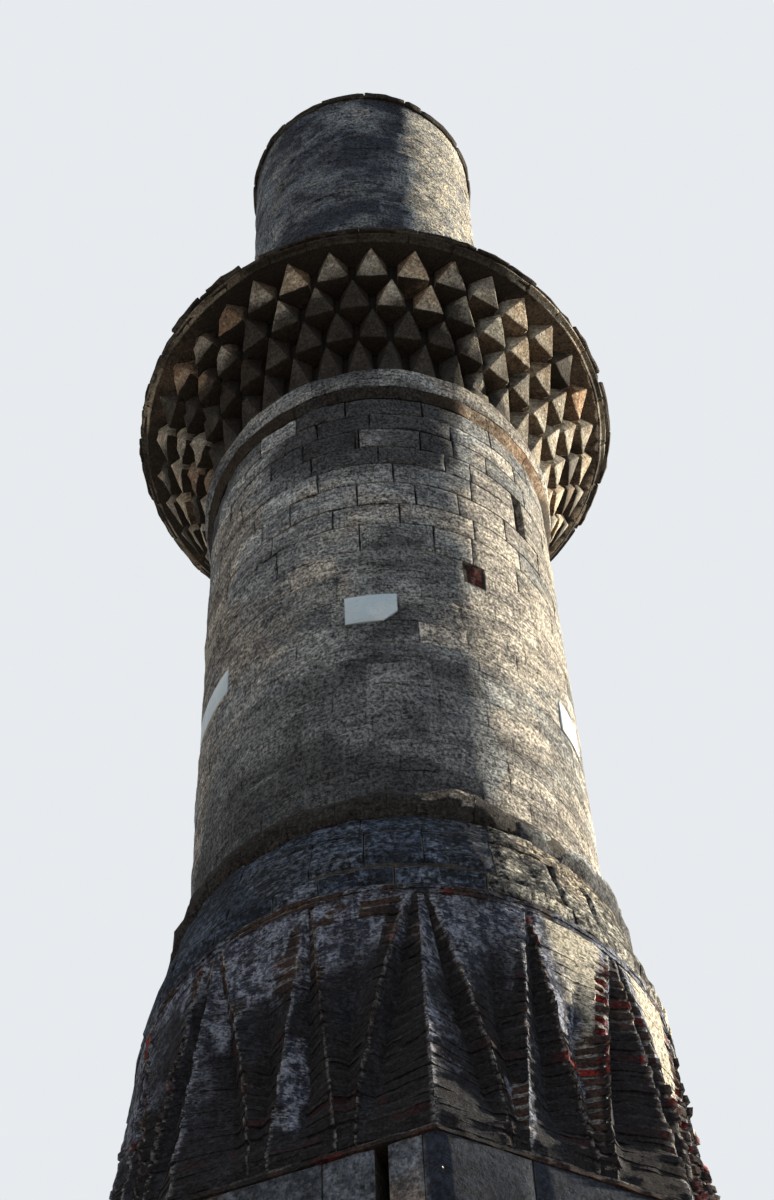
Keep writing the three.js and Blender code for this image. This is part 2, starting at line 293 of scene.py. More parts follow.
# Brick courses with lime mortar, under what is left of a grey plaster
def brickFinish(name, look):
    made = Finish(name, 0.95)
    bedded = made.stretched(2.2)
    grain = made.cloud(bedded, 30, 6, 0.72)
    patch = made.cloud(made.place, 3.4, 6, 0.66)
    speck = made.cloud(made.place, 130, 3, 0.7)
    blots = made.cloud(made.place, 14, 4, 0.7)
    fleck = made.cloud(made.place, 52, 3, 0.7)
    runs = made.cloud(made.stretched(0.16), 22, 4, 0.65)
    holes = made.cells(bedded, 24)
    brick, tone, soot, plaster, edge = made.read("brick", "tone", "soot", "plaster", "edge")
    clay = made.mixed((tone + (blots - 0.5) * 0.3).ramp(0.7, 0.9), look["clayDark"], look["clayLight"])
    lime = made.mixed(grain.ramp(0.4, 0.65), look["limeDark"], look["limeLight"])
    colour = made.mixed(brick, lime, clay)
    skin = (blots * 0.5 + runs * 0.3 + grain * 0.2).ramp(0.46, 0.56)
    skin = made.mixed(skin, look["skinDark"], look["skinLight"])
    skin = made.mixed((grain * 0.7 + patch * 0.3).ramp(0.52, 0.6) * 0.7, skin, look["limeLight"])
    cover = (plaster + (blots - 0.5) * 0.8 + (grain - 0.5) * 0.9).ramp(0.4, 0.6)
    colour = made.mixed(cover, colour, skin)
    crust = (soot * 0.7 + patch * 0.5 + grain * 0.35 + runs * 0.2 - cover * 0.2).ramp(0.55, 0.9)
    colour = made.mixed(crust * look["crust"], colour, look["crustColour"])
    # arrises lightened towards lime: partly worn lime, partly a painted highlight on the edges
    worn = edge.ramp(0.3, 0.9) * (grain * 0.6 + blots * 0.4).ramp(0.44, 0.56)
    colour = made.mixed(worn * 0.5, colour, look["limeLight"])
    # cream where the soot value is below zero, on the side the key light reaches: partly cleaner plaster,
    # partly painted sunlight
    cleanAndSunlit = (soot * -1 + (blots - 0.5) * 0.5).ramp(0.05, 0.6) * (1 - brick * (1 - cover))
    colour = made.mixed(cleanAndSunlit * 0.8, colour, look["cleanAndSunlit"])
    colour = made.multiplied(colour, fleck.ramp(0.38, 0.62) * 1.1 + speck.ramp(0.3, 0.7) * 0.4 + 0.32)
    pits = (1 - holes.ramp(0.14, 0.34)) * cover * blots.ramp(0.42, 0.56)
    colour = made.mixed(pits * 0.85, colour, look["deep"])
    height = grain * 0.5 + blots * 0.3 + fleck * 0.3 + speck * 0.15 - pits * 0.4
    return made.dressed(colour, height, look["relief"])


def marbleFinish(name):
    made = Finish(name, 0.55)
    cloudy = made.cloud(made.place, 5, 5, 0.6, 0.6)
    fine = made.cloud(made.place, 60, 4, 0.6)
    edge, = made.read("edge")
    colour = made.mixed(cloudy.ramp(0.35, 0.7), tint(206, 226, 238), tint(232, 244, 250))
    colour = made.mixed(fine.ramp(0.55, 0.75) * 0.4 + edge * 0.3, colour, tint(150, 150, 148))
    return made.dressed(colour, fine, 0.004)


finishes["brickAndPlaster"] = brickFinish("brickAndPlaster", brickLook)
finishes["patchMarble"] = marbleFinish("patchMarble")
print("finishes made")


# Levels and radii of the frame's pieces, in metres
def levels(node):
    low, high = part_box(node)
    return low.z, high.z


def radiusOf(point):
    return math.hypot(point.x, point.y)


def pointsOf(node):
    return [v.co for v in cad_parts[node].data.vertices]


def reach(node, z=None):  # outermost radius of a node, or of its points at one level
    return max(radiusOf(p) for p in pointsOf(node) if z is None or abs(p.z - z) < 0.004)


def apothemOf(node):  # distance from the axis to a face of an octagon
    return -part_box(node)[0].y


def nodesLike(*starts):
    return [name for name in sorted(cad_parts) if name.startswith(starts)]


def pairs(items):
    return list(zip(items, items[1:]))


def within(value, span):
    return span[0] < value < span[1]


def clamped(value):
    return min(max(value, 0), 1)


def between(stops, x):  # a value read off a line through (place, value) stops
    for (a, low), (b, high) in pairs(stops):
        if x <= b:
            return low + (high - low) * max(0, x - a) / (b - a)
    return stops[-1][1]


def bearingOf(point):
    return math.degrees(math.atan2(point.x, -point.y))


def squeezed(point, share, lower=0):  # moved towards the axis, and down
    return Vector((point.x * share, point.y * share, point.z - lower))


def rugged(point, scale, octaves=3, step=2.0):
    return noise.fractal(point * scale, 0.9, step, octaves)


def steady(value):
    return lambda z: value


def tapered(node):  # radius of a wall that narrows from its foot to its top
    low, high = levels(node)
    foot, top = reach(node, low), reach(node, high)
    return lambda z: foot + (top - foot) * (z - low) / (high - low)


# Wall surfaces turn a place along a wall, a height and a depth into a point
def roundWall(radiusAt):
    return lambda bearing, z, depth: polar(bearing, radiusAt(z) + depth, z)


def octagonWall(apothem):
    side = 2 * apothem * math.tan(math.pi / 8)

    def place(along, z, depth):
        face, rest = divmod(along, side)
        sideways = (rest - side / 2) * (apothem + depth) / apothem
        turn = Matrix.Rotation(math.radians(face * 45), 3, "Z")
        return turn @ Vector((sideways, -(apothem + depth), z))

    return place, side


def profileWall(points):  # a moulding: the height runs from 0 to 1 along a profile of (radius, z) points
    steps = [math.dist(a, b) for a, b in pairs(points)]
    total = sum(steps)

    def place(bearing, share, depth):
        left = clamped(share) * total
        for index, step in enumerate(steps):
            if left <= step or index == len(steps) - 1:
                break
            left -= step
        (r0, z0), (r1, z1) = points[index], points[index + 1]
        part = left / step
        r, z = r0 + (r1 - r0) * part, z0 + (z1 - z0) * part
        outR, outZ = (z1 - z0) / step, (r0 - r1) / step
        return polar(bearing, r + outR * depth, z + outZ * depth)

    return place, total


def profileOf(node, outside):  # the outer profile of a turned node, from its own points
    points = {(round(radiusOf(p), 4), round(p.z, 4)) for p in pointsOf(node)}
    return sorted((p for p in points if p[0] > outside), key=lambda p: (p[1], p[0]))


# Meshes
def meshFrom(bm, name):
    mesh = bpy.data.meshes.new(name)
    bm.to_mesh(mesh)
    bm.free()
    return mesh


def rimOf(bm):
    return [e for e in bm.edges if e.is_boundary]


def extruded(bm, edges):  # the new vertices and the new edges
    made = bmesh.ops.extrude_edge_only(bm, edges=edges)["geom"]
    return [[g for g in made if isinstance(g, kind)] for kind in (bmesh.types.BMVert, bmesh.types.BMEdge)]


# the soot value is partly real soot and crust, and partly painted shade (higher on the shaded side, under
# overhangs and in recesses) and painted sunlight (below zero on the side the key light reaches)
def surfaceLayers(bm, *more):
    floats = bm.verts.layers.float
    return [floats.get(key) or floats.new(key) for key in ("tone", "edge", "soot", *more)]


def squareSheet(columns, rows):  # its squares are counted in whole numbers
    bm = bmesh.new()
    bmesh.ops.create_grid(bm, x_segments=columns, y_segments=rows, size=1)
    bmesh.ops.translate(bm, verts=bm.verts, vec=(1, 1, 0))
    bmesh.ops.scale(bm, verts=bm.verts, vec=(columns / 2, rows / 2, 1))
    return bm


def closeRing(bm, bore):  # welds the seam and closes the skin with its inner wall
    bmesh.ops.remove_doubles(bm, verts=bm.verts, dist=1e-5)
    for v in extruded(bm, rimOf(bm))[0]:
        v.co = squeezed(v.co, bore / radiusOf(v.co))
    bmesh.ops.bridge_loops(bm, edges=rimOf(bm))
    bmesh.ops.recalc_face_normals(bm, faces=bm.faces)


def stoneTemplate(columns, rows):  # front face at 0, back at -1
    bm = squareSheet(columns, rows)
    bmesh.ops.translate(bm, verts=extruded(bm, rimOf(bm))[0], vec=(0, 0, -1))
    bmesh.ops.contextual_create(bm, geom=rimOf(bm))
    bmesh.ops.recalc_face_normals(bm, faces=bm.faces)
    return meshFrom(bm, "stoneTemplate")


def gridLines(start, end, count, edge, corners):  # narrow first and last strips, corners kept on a line
    inner = [start + edge + (end - start - 2 * edge) * k / (count - 2) for k in range(count - 1)]
    for corner in corners:
        if start + 2 * edge < corner < end - 2 * edge:
            nearest = min(range(1, len(inner) - 1), key=lambda k: abs(inner[k] - corner))
            inner[nearest] = corner
    return [start, *inner, end]


# A stone is told by where it starts and ends along the wall, its foot and top, and its own look
def layStones(bm, stones, place, spec, sootAndShadeAt=steady(0.0)):
    first, firstFace = len(bm.verts), len(bm.faces)
    columns, rows = spec["squares"]
    template = stoneTemplate(columns, rows)
    for _ in stones:
        bm.from_mesh(template)
    each, eachFace = len(template.vertices), len(template.polygons)
    bpy.data.meshes.remove(template)
    bm.verts.ensure_lookup_table()
    bm.faces.ensure_lookup_table()
    toneLayer, edgeLayer, sootAndShadeLayer = surfaceLayers(bm)
    alongUnit = math.radians(spec["unitRadius"]) if "unitRadius" in spec else 1  # metres in one step along
    upUnit = spec.get("length", 1)
    for index, (s0, s1, t0, t1, look) in enumerate(stones):
        rng = random.Random(f"{spec['seed']}{index}")
        own = {**spec, **look}
        s0, s1 = s0 + own["gap"] / alongUnit, s1 - own["gap"] / alongUnit
        t0, t1 = t0 + own["gap"] / upUnit, t1 - own["gap"] / upUnit
        rim = min(own["edge"], (s1 - s0) * alongUnit / 4, (t1 - t0) * upUnit / 4)
        lines = gridLines(s0, s1, columns, rim / alongUnit, own.get("corners", ()))
        bands = gridLines(t0, t1, rows, rim / upUnit, ())
        skew = [rng.uniform(-1, 1) * own["skew"] for _ in range(2)]
        lean = [rng.uniform(-1, 1) * own["lean"] for _ in range(2)]
        proud = rng.uniform(-1, 1) * own["proud"] + own.get("stand", 0)
        tone = own.get("tone", rng.gauss(0.5, own["toneSpread"]))
        for v in bm.verts[first + index * each:first + (index + 1) * each]:
            i, j, behind = round(v.co.x), round(v.co.y), v.co.z < -0.5
            s, t = lines[i], bands[j]
            u, w = (s - s0) / (s1 - s0) - 0.5, (t - t0) / (t1 - t0) - 0.5
            atRim = i in (0, columns) or j in (0, rows)
            here = place(s, t, 0)
            fine = noise.noise(here * own["wobbleScale"])
            s += skew[0] * w / alongUnit
            t += skew[1] * u / upUnit
            if atRim:
                s -= abs(fine) * own["wobble"] * (u * 2) / alongUnit
                t -= abs(fine) * own["wobble"] * (w * 2) / upUnit
            depth = proud + lean[0] * u + lean[1] * w
            depth += own["rough"] * noise.fractal(here * own["roughScale"], 0.8, 2.1, 3)
            depth -= own["drop"] * (0.55 + abs(fine)) if atRim else 0
            depth -= own["bite"](u, w) if "bite" in own else 0
            v.co = place(s, t, -own["depth"] if behind else depth)
            v[toneLayer] = tone
            v[edgeLayer] = 1.0 if atRim else 0.0
            v[sootAndShadeLayer] = sootAndShadeAt(here) + own.get("soot", 0)
        for face in bm.faces[firstFace + index * eachFace:firstFace + (index + 1) * eachFace]:
            face.material_index = own.get("material", 0)


def pulledIn(radiusAt, recessAt, top=math.inf, lower=0):  # moves what lies on the outer face inwards
    def move(point):
        radius = radiusOf(point)
        share = 1 if radius < radiusAt(point.z) - 0.03 else (radius - recessAt(point.z)) / radius
        return squeezed(point, share, lower if point.z > top - 0.01 else 0)

    return move


def wallCore(bm, nodes, recess, material, cuts=()):  # the wall behind the stones, from the frame's own pieces
    part = bmesh.new()
    for node in nodes:
        part.from_mesh(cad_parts[node].data)
    bmesh.ops.remove_doubles(part, verts=part.verts, dist=1e-5)
    for z in cuts:
        every = [*part.verts, *part.edges, *part.faces]
        bmesh.ops.bisect_plane(part, geom=every, plane_co=(0, 0, z), plane_no=(0, 0, 1))
    for v in part.verts:
        v.co = recess(v.co)
    for face in part.faces:
        face.material_index = material
    mesh = meshFrom(part, "wallCore")
    bm.from_mesh(mesh)
    bpy.data.meshes.remove(mesh)


def finishPiece(bm, name, materials, nodes, sharp=38):  # edges over so many degrees stay sharp
    for face in bm.faces:
        face.smooth = True
    mesh = meshFrom(bm, name)
    for key in materials:
        mesh.materials.append(finishes[key])
    mesh.set_sharp_from_angle(angle=math.radians(sharp))
    piece = placed(name, mesh)
    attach(piece, "root")
    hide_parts(*nodes)
    mesh.calc_loop_triangles()
    print(f"{name}: {len(mesh.loop_triangles)} triangles")


def stonePiece(name, slot, materials, nodes, recess, *layers, cuts=()):  # stones with the wall behind them
    bm = bmesh.new()
    for layer in layers:
        layStones(bm, *layer)
    wallCore(bm, nodes, recess, min(1, len(materials) - 1), cuts)  # in the second material, if there is one
    finishPiece(bm, name, materials, nodes)


# Courses
def splitLoop(rng, start, total, width, spread):  # joints round a closed course, about width apart
    joints = [start]
    while joints[-1] < start + total - width * 0.6:
        joints.append(joints[-1] + width * rng.uniform(1 - spread, 1 + spread))
    stretch = total / (joints[-1] - start)
    return [start + (joint - start) * stretch for joint in joints]


def closedLoop(rng, seen, width, spread):  # joints seen from the front, and others made up for the back
    rest = splitLoop(rng, seen[-1], 360 - (seen[-1] - seen[0]), width, spread)
    return pairs([*seen, *rest[1:]])


def withLintel(joints, low, high, clear):  # one long stone spans an opening
    return sorted([*(j for j in joints if not low - clear < j < high + clear), low, high])


def spansOf(joints, holes, least):  # stones between joints, cut back at openings
    spans = []
    for a, b in pairs(joints):
        parts = [(a, b)]
        for low, high in holes:
            cut = []
            for x, y in parts:
                cut += [(x, min(y, low)), (max(x, high), y)] if x < high and y > low else [(x, y)]
            parts = cut
        spans += [(x, y) for x, y in parts if y - x > least]
    return spans


def evenCourses(rng, stops, height, spread):  # pairs of levels, with joints at the fixed levels
    tops = [stops[0]]
    for low, high in pairs(stops):
        count = max(1, round((high - low) / height))
        shares = [rng.uniform(1 - spread, 1 + spread) for _ in range(count)]
        for share in shares:
            tops.append(tops[-1] + share * (high - low) / sum(shares))
        tops[-1] = high
    return pairs(tops)


# Octagonal base: large smooth slabs with tight joints
baseApothem = apothemOf("base_wall_1_slit_left")
baseWall, baseSide = octagonWall(baseApothem)
baseSpec = {
    "seed": "base", "squares": (10, 5), "corners": [baseSide * k for k in range(17)],
    "courseHeight": 0.42, "courseSpread": 0.18, "stoneWidth": 0.62, "spread": 0.3, "leastWidth": 0.05,
    "shift": (0.2, 0.45), "bond": 0.3, "lintel": 0.16, "lintelClear": 0.15, "coreRecess": 0.012,
    "gap": 0.0015, "edge": 0.012, "skew": 0.003, "lean": 0.002, "proud": 0.0025, "toneSpread": 0.2,
    "wobble": 0.004, "wobbleScale": 9, "depth": 0.05, "rough": 0.004, "roughScale": 5, "drop": 0.006,
    # painted shade: the face from bearing 24 to 60, which the key light only grazes, is darkened; the left side
    # is lighter
    "sootStops": [(20, -0.32), (24, 1.6), (60, 1.6), (80, 0)],
}
baseDoor = {"width": 0.76, "height": 1.9}
baseSlit = {"width": 0.06, "height": 0.9, "offset": 0.37}


def buildBase(spec):
    foot, top = levels("base_wall_2")
    head, sill = foot + baseDoor["height"], top - baseSlit["height"]
    total = 8 * baseSide
    rng = random.Random(spec["seed"])
    openings = []
    for low, high, middle, width in ((foot, head, 4.5 * baseSide, baseDoor["width"]),
                                     (sill, top, baseSide / 2 + baseSlit["offset"], baseSlit["width"])):
        openings.append((low, high, middle - width / 2, middle + width / 2))
    stones = []
    courses = evenCourses(rng, [foot, head, sill, top], spec["courseHeight"], spec["courseSpread"])
    for course, (z0, z1) in enumerate(courses):
        holes = []
        for low, high, left, right in openings:
            if z0 < high - 0.01 and z1 > low + 0.01:
                holes += [(left, right), (left + total, right + total)]
        start = rng.uniform(*spec["shift"]) + (course % 2) * spec["bond"]
        joints = splitLoop(rng, start, total, spec["stoneWidth"], spec["spread"])
        if z0 < head + 0.01 < z1:
            left, right = openings[0][2:]
            joints = withLintel(joints, left - spec["lintel"], right + spec["lintel"], spec["lintelClear"])
        stones += [(a, b, z0, z1, {}) for a, b in spansOf(joints, holes, spec["leastWidth"])]

    def sootAndShadeAt(point):
        runs = noise.noise(Vector((point.x * 2, point.y * 2, point.z * 0.4)))
        return between(spec["sootStops"], bearingOf(point)) + 0.5 * runs

    def pullIn(point):
        bearing = bearingOf(point)
        away = math.radians(bearing - round(bearing / 45) * 45)
        distance = radiusOf(point) * math.cos(away)
        return squeezed(point, 1 - spec["coreRecess"] / distance if distance > baseApothem - 0.03 else 1)

    stonePiece("baseStones", "base_stone", ["baseStone", "mortarBed"], nodesLike("base_wall"), pullIn,
               (stones, baseWall, spec, sootAndShadeAt))


buildBase(baseSpec)

plinthSpec = {
    **baseSpec, "seed": "plinth", "stoneWidth": 0.85, "gap": 0.004, "edge": 0.02, "drop": 0.014, "rough": 0.008,
    "coreRecess": 0.02, "coreLower": 0.004, "look": {"tone": 0.42},
}


def buildPlinth(spec):
    foot, top = levels("plinth")
    apothem = apothemOf("plinth")
    place, side = octagonWall(apothem - 0.002)
    joints = splitLoop(random.Random(spec["seed"]), 0.3, 8 * side, spec["stoneWidth"], spec["spread"])
    stones = [(a, b, foot, top, spec["look"]) for a, b in pairs(joints)]

    def pullIn(point):
        lower = spec["coreLower"] if point.z > top - 0.01 else 0
        return squeezed(point, 1 - spec["coreRecess"] / apothem, lower)

    own = {**spec, "corners": [side * k for k in range(17)]}
    stonePiece("plinthStones", "base_stone", ["baseStone"], ["plinth"], pullIn, (stones, place, own))


buildPlinth(plinthSpec)
print("base laid")


# Folded transition: corner ridges and hanging panels in brick courses, plastered in their upper part
litStops = [(38, 0), (56, 1), (150, 1), (165, 0)]  # the side the key light reaches, by bearing: surfaces there are painted cleaner, lighter and warmer, partly real cleaner stone and partly painted sunlight
boreRadius = 0.78
foldSpec = {
    "pitch": 0.085, "brick": 0.052, "recess": 0.011, "brickLength": 0.26, "serration": 0.012, "tipRise": 0.1,
    "cells": (8, 3, 10, 10, 5), "meanRadius": 1.45, "headInset": 0.007, "brickStand": 0.011, "rugged": 0.018,
    # bearings and levels of single marks, then what they add to the plaster and to the soot
    "marks": [(-5, 0, 11.4, 12.1, 0.8, -1.0), (-9, -5.5, 11.55, 12.1, -0.3, 1.2), (8, 10.5, 11.6, 12.3, 0, 1.0),
              (36, 41, 11.2, 11.7, 0.8, -1.0), (1, 19, 12.86, 13.06, -1.2, -0.1),
              (-14, -4, 12.8, 13.02, 0.8, -1.1), (-20, -16, 12.2, 12.7, 0.3, -0.5)],
    # how deep the valleys are at shares of the rise
    "cornerSink": [(0, 0.002), (0.2, 0.075), (0.5, 0.09), (0.75, 0.06), (1, 0.002)],
    "panelSink": [(0, 0.002), (0.2, 0.055), (0.5, 0.09), (0.75, 0.02), (1, 0.002)],
    "faceSink": [(0, 0.002), (0.2, 0.09), (0.5, 0.07), (0.75, 0.045), (1, 0.002)],
}


def foldProfile(rise, spec):  # half a sector: bearing from its corner ridge, and how far it is sunk
    corner, panel, face = (between(spec[key], rise) for key in ("cornerSink", "panelSink", "faceSink"))
    inner, outer = 13 - 11 * rise ** 1.5, 16.2 + 5.8 * rise
    middle = (inner + outer) / 2
    return [(0, 0), (11 - 9.8 * rise, corner), (inner, 0), (middle, panel), (outer, 0), (22.5, face)]


def brickRows(foot, top, spec):  # levels with a mark: 1 on a brick, 0 on the mortar above it
    rows = []
    z = foot
    while z < top - spec["brick"] * 0.5:
        high = min(z + spec["brick"], top)
        rows += [(z, 1), (high, 1)]
        if high + 0.004 < top:
            rows += [(high + 0.001, 0), (min(z + spec["pitch"], top) - 0.001, 0)]
        z += spec["pitch"]
    if rows[-1][0] < top - 1e-4:
        rows.append((top, rows[-1][1]))
    return rows


def markedAt(marks, bearing, z, ragged):  # what single marks add to the plaster and to the soot at a place
    plaster = soot = 0
    for left, right, low, high, addPlaster, addSoot in marks:
        inside = min((bearing - left) * 0.024, (right - bearing) * 0.024, z - low, high - z)
        share = clamped((inside + 0.05 * ragged) / 0.03)
        plaster, soot = plaster + share * addPlaster, soot + share * addSoot
    return plaster, soot


def buildTransition(spec):
    foot, top = levels("transition_1")
    low, head = reach("transition_1", foot), reach("neck_bricks") - spec["headInset"]
    apothem = low * math.cos(math.pi / 8)
    tips = foot + spec["tipRise"]
    rows = brickRows(foot, top, spec)
    half = sum(spec["cells"])
    bm = squareSheet(16 * half, len(rows) - 1)
    toneLayer, edgeLayer, sootAndShadeLayer, brickLayer, plasterLayer = surfaceLayers(bm, "brick", "plaster")
    starts = [sum(spec["cells"][:k]) for k in range(6)]
    rises = [clamped((z - tips) / (top - tips)) for z, _ in rows]
    profiles = [foldProfile(rise, spec) for rise in rises]
    for v in bm.verts:
        column, row = round(v.co.x), round(v.co.y)
        (z, onBrick), rise, profile = rows[row], rises[row], profiles[row]
        sector, cell = divmod(column, 2 * half)
        mirrored = cell > half
        cell = 2 * half - cell if mirrored else cell
        part = max(k for k in range(5) if starts[k] <= cell)
        share = (cell - starts[part]) / spec["cells"][part]
        (b0, d0), (b1, d1) = profile[part], profile[part + 1]
        away, sink = b0 + (b1 - b0) * share, d0 + (d1 - d0) * share
        bearing = 22.5 + sector * 45 + (45 - away if mirrored else away)
        octagonRadius = apothem / math.cos(math.radians(22.5 - away))
        radius = octagonRadius + (head - octagonRadius) * rise - sink
        here = polar(bearing, radius, z)
        course = int((z - foot) / spec["pitch"] + 0.001)
        length = math.radians(bearing) * spec["meanRadius"] + (course % 2) * spec["brickLength"] / 2
        shift = 0.3 * noise.noise(Vector((course, 0.5, bearing / 40)))
        brick = math.floor(length / spec["brickLength"] + shift)
        own = noise.cell(Vector((brick + 0.5, course + 0.5, 3.5)))
        onArris, onPanel = cell in (0, starts[2], starts[4]), part in (2, 3)
        facesRight = (part in (0, 2, 4)) != mirrored
        signed = (bearing + 180) % 360 - 180
        lit, wear = between(litStops, signed), rugged(here, 2.3, 4)
        markPlaster, markSoot = markedAt(spec["marks"], signed, z, noise.noise(here * 9))
        # right-facing flanks carry more of the bluish plaster skin: partly plaster, partly painted skylight on
        # that side
        plaster = 0.55 + 0.3 * rise + 0.3 * wear if facesRight else 0.1 + 0.3 * wear
        fromArris = 1
        if onPanel:
            fromArris = share if part == 2 else 1 - share
            plaster = (rise - 0.55 + 0.35 * wear + 0.25 * fromArris + (0.15 if facesRight else 0)) * 2.6
        if not facesRight and (onArris or (onPanel and fromArris < 0.32)):  # brick ends show here
            plaster -= 0.6
            # brick ends made lighter and redder where the key light falls: painted sunlight on real brick
            own = own * 0.55 + 0.3 + 0.12 * lit + 0.15 * rise
            own += 0.25 if 58 < signed < 150 else 0
        plaster = clamped(plaster + markPlaster)
        relief = own * spec["brickStand"] * onBrick + spec["rugged"] * rugged(here, 8, 3, 2.1)
        worn = (0.2 + 0.3 * lit + (0.25 if onArris else 0)) * 1.3
        relief -= spec["recess"] * (1 - onBrick) * max(0, worn + 1.2 * noise.noise(here * 6))
        if onArris:
            relief += spec["serration"] * (own + 0.2) if onBrick else -0.008
        relief -= 0.03 * max(0, own - 0.86) / 0.14 * onBrick
        relief = relief * (1 - 0.8 * plaster) + plaster * 0.003
        v.co = polar(bearing, radius + relief, z)
        # painted shade and light in the soot value: valleys (sink) and the bulging foot are darker, arrises and
        # right-facing flanks lighter, and the sunlit side cleaner, on top of real wear
        shade = 0.95 - 0.65 * rise + 0.45 * wear - (0.4 if onArris else 0) + 5.5 * sink
        shade -= 0.2 if facesRight and part == 0 else 0
        shade += 0.5 * max(0, 1 - rise / 0.15)
        openShare = clamped((fromArris - 0.15 + 0.3 * wear) / 0.4) if onPanel else 0
        shade -= lit * ((0.8 + 0.5 * rise) * openShare + 0.25 + (0.2 if onArris else 0))
        shade = shade + markSoot if markSoot >= 0 else max(shade + markSoot, -0.05)
        v[toneLayer], v[edgeLayer], v[sootAndShadeLayer] = own, 1.0 if onArris else 0.0, shade
        v[brickLayer], v[plasterLayer] = onBrick, plaster
    closeRing(bm, boreRadius)
    finishPiece(bm, "foldedTransition", ["brickAndPlaster"], nodesLike("transition_"), 32)


buildTransition(foldSpec)

stringSpec = {
    "brick": 0.024, "pitch": 0.044, "recess": 0.008, "columns": 512, "bore": 1.02, "soot": 0.5, "limewash": 0.0,
}
neckSpec = {
    **stringSpec, "brick": 0.026, "pitch": 0.04, "columns": 480, "bore": boreRadius, "soot": 0.45,
    "limewash": 0.55,
}


def brickRing(name, node, surface, spec):
    rows = brickRows(*levels(node), spec)
    bm = squareSheet(spec["columns"], len(rows) - 1)
    toneLayer, _, sootAndShadeLayer, brickLayer, plasterLayer = surfaceLayers(bm, "brick", "plaster")
    for v in bm.verts:
        turn, (z, onBrick) = round(v.co.x) / spec["columns"], rows[round(v.co.y)]
        here = surface(turn, z, 0)
        course = int((z - rows[0][0]) / spec["pitch"] + 0.001)
        own = noise.cell(Vector((math.floor(turn * 32 + course * 0.5) + 0.5, course + 0.5, 8.5)))
        wear = rugged(here, 3, 4)
        relief = own * 0.005 * onBrick - spec["recess"] * (1 - onBrick) + 0.009 * noise.noise(here * 14)
        v.co = surface(turn, z, relief - 0.003)
        own = own * 0.72 + (0.25 if math.floor(turn * 60) == 4 else 0)  # one stretch is redder
        v[toneLayer], v[brickLayer], v[sootAndShadeLayer] = own, onBrick, spec["soot"] + 0.5 * wear
        # more limewash on the side the key light reaches, so it reads lighter there: partly painted sunlight
        v[plasterLayer] = spec["limewash"] + 0.6 * wear + 0.3 * between(litStops, bearingOf(here))
    closeRing(bm, spec["bore"])
    finishPiece(bm, name, ["brickAndPlaster"], [node], 32)


def buildBrickRings():
    place, side = octagonWall(apothemOf("brick_string"))
    outer = reach("neck_bricks")
    brickRing("brickString", "brick_string", lambda turn, z, out: place(turn * 8 * side, z, out), stringSpec)
    brickRing("neckBricks", "neck_bricks", lambda turn, z, out: polar(turn * 360, outer + out, z), neckSpec)


buildBrickRings()
print("brick laid")


# Dark fascia and the leaning dark band above it, with the joints that show from the front
darkSpec = {
    **baseSpec, "seed": "dark", "gap": 0.002, "edge": 0.014, "drop": 0.005, "rough": 0.012, "roughScale": 8,
    "lean": 0.006, "proud": 0.004, "toneSpread": 0.18, "unitRadius": 1.33, "spread": 0.25, "lowCourse": 0.42,
    "sunnySide": (33, 155), "sunny": {"material": 2, "tone": 0.2, "rough": 0.02},
    "openSide": (40, 90), "open": {"gap": 0.007, "drop": 0.016},
    "plastered": {"tone": 1.2, "soot": -1.2, "rough": 0.002}, "fasciaRecess": 0.015, "bandRecess": 0.02,
    "fascia": ([-42, -23, -8, 2, 18, 37, 58, 79], 20),
    "bandLow": ([-40, -20.5, -0.5, 11.5, 24.5, 40, 56, 66, 84], 17),
    "bandHigh": ([-37, -20.5, 10.5, 41, 60, 78], 22),
}


def buildDarkRings(spec):
    rng = random.Random(spec["seed"])
    outer = steady(reach("neck_fascia"))
    foot, top = levels("dark_band")
    middle = foot + spec["lowCourse"]

    def undercut(u, w):  # the lower edge is lost
        return 0.05 * max(0, -w - 0.25) / 0.25

    def sootAndShadeAt(point):
        # a little less soot on the sunlit side: painted sunlight
        return 0.6 * rugged(point, 2.5) - 0.15 * between(litStops, bearingOf(point))

    def course(key, low, high):  # dark in the shade, pale pitted stone on the sunny side, one plastered stone
        laid = []
        for a, b in closedLoop(rng, *spec[key], spec["spread"]):
            look = spec["plastered"] if (a, b) == (-8, 2) else {}
            look = dict(spec["sunny"] if within((a + b) / 2, spec["sunnySide"]) else look)
            if key == "bandLow":
                look.update({"bite": undercut} if -1 < a and b < 41 else {})
                look.update(spec["open"] if within(b, spec["openSide"]) else {})
            laid.append((a, b, low, high, look))
        return laid

    fascia = course("fascia", *levels("neck_fascia"))
    band = course("bandLow", foot, middle) + course("bandHigh", middle, top)
    wall, materials = tapered("dark_band"), ["darkStone", "mortarBed", "pockedStone"]
    recess = pulledIn(outer, steady(spec["fasciaRecess"]))
    stonePiece("darkFascia", "dark_stone", materials, ["neck_fascia"], recess,
               (fascia, roundWall(outer), spec, sootAndShadeAt))
    recess = pulledIn(wall, steady(spec["bandRecess"]))
    stonePiece("darkBand", "dark_stone", materials, ["dark_band"], recess,
               (band, roundWall(wall), spec, sootAndShadeAt))


buildDarkRings(darkSpec)

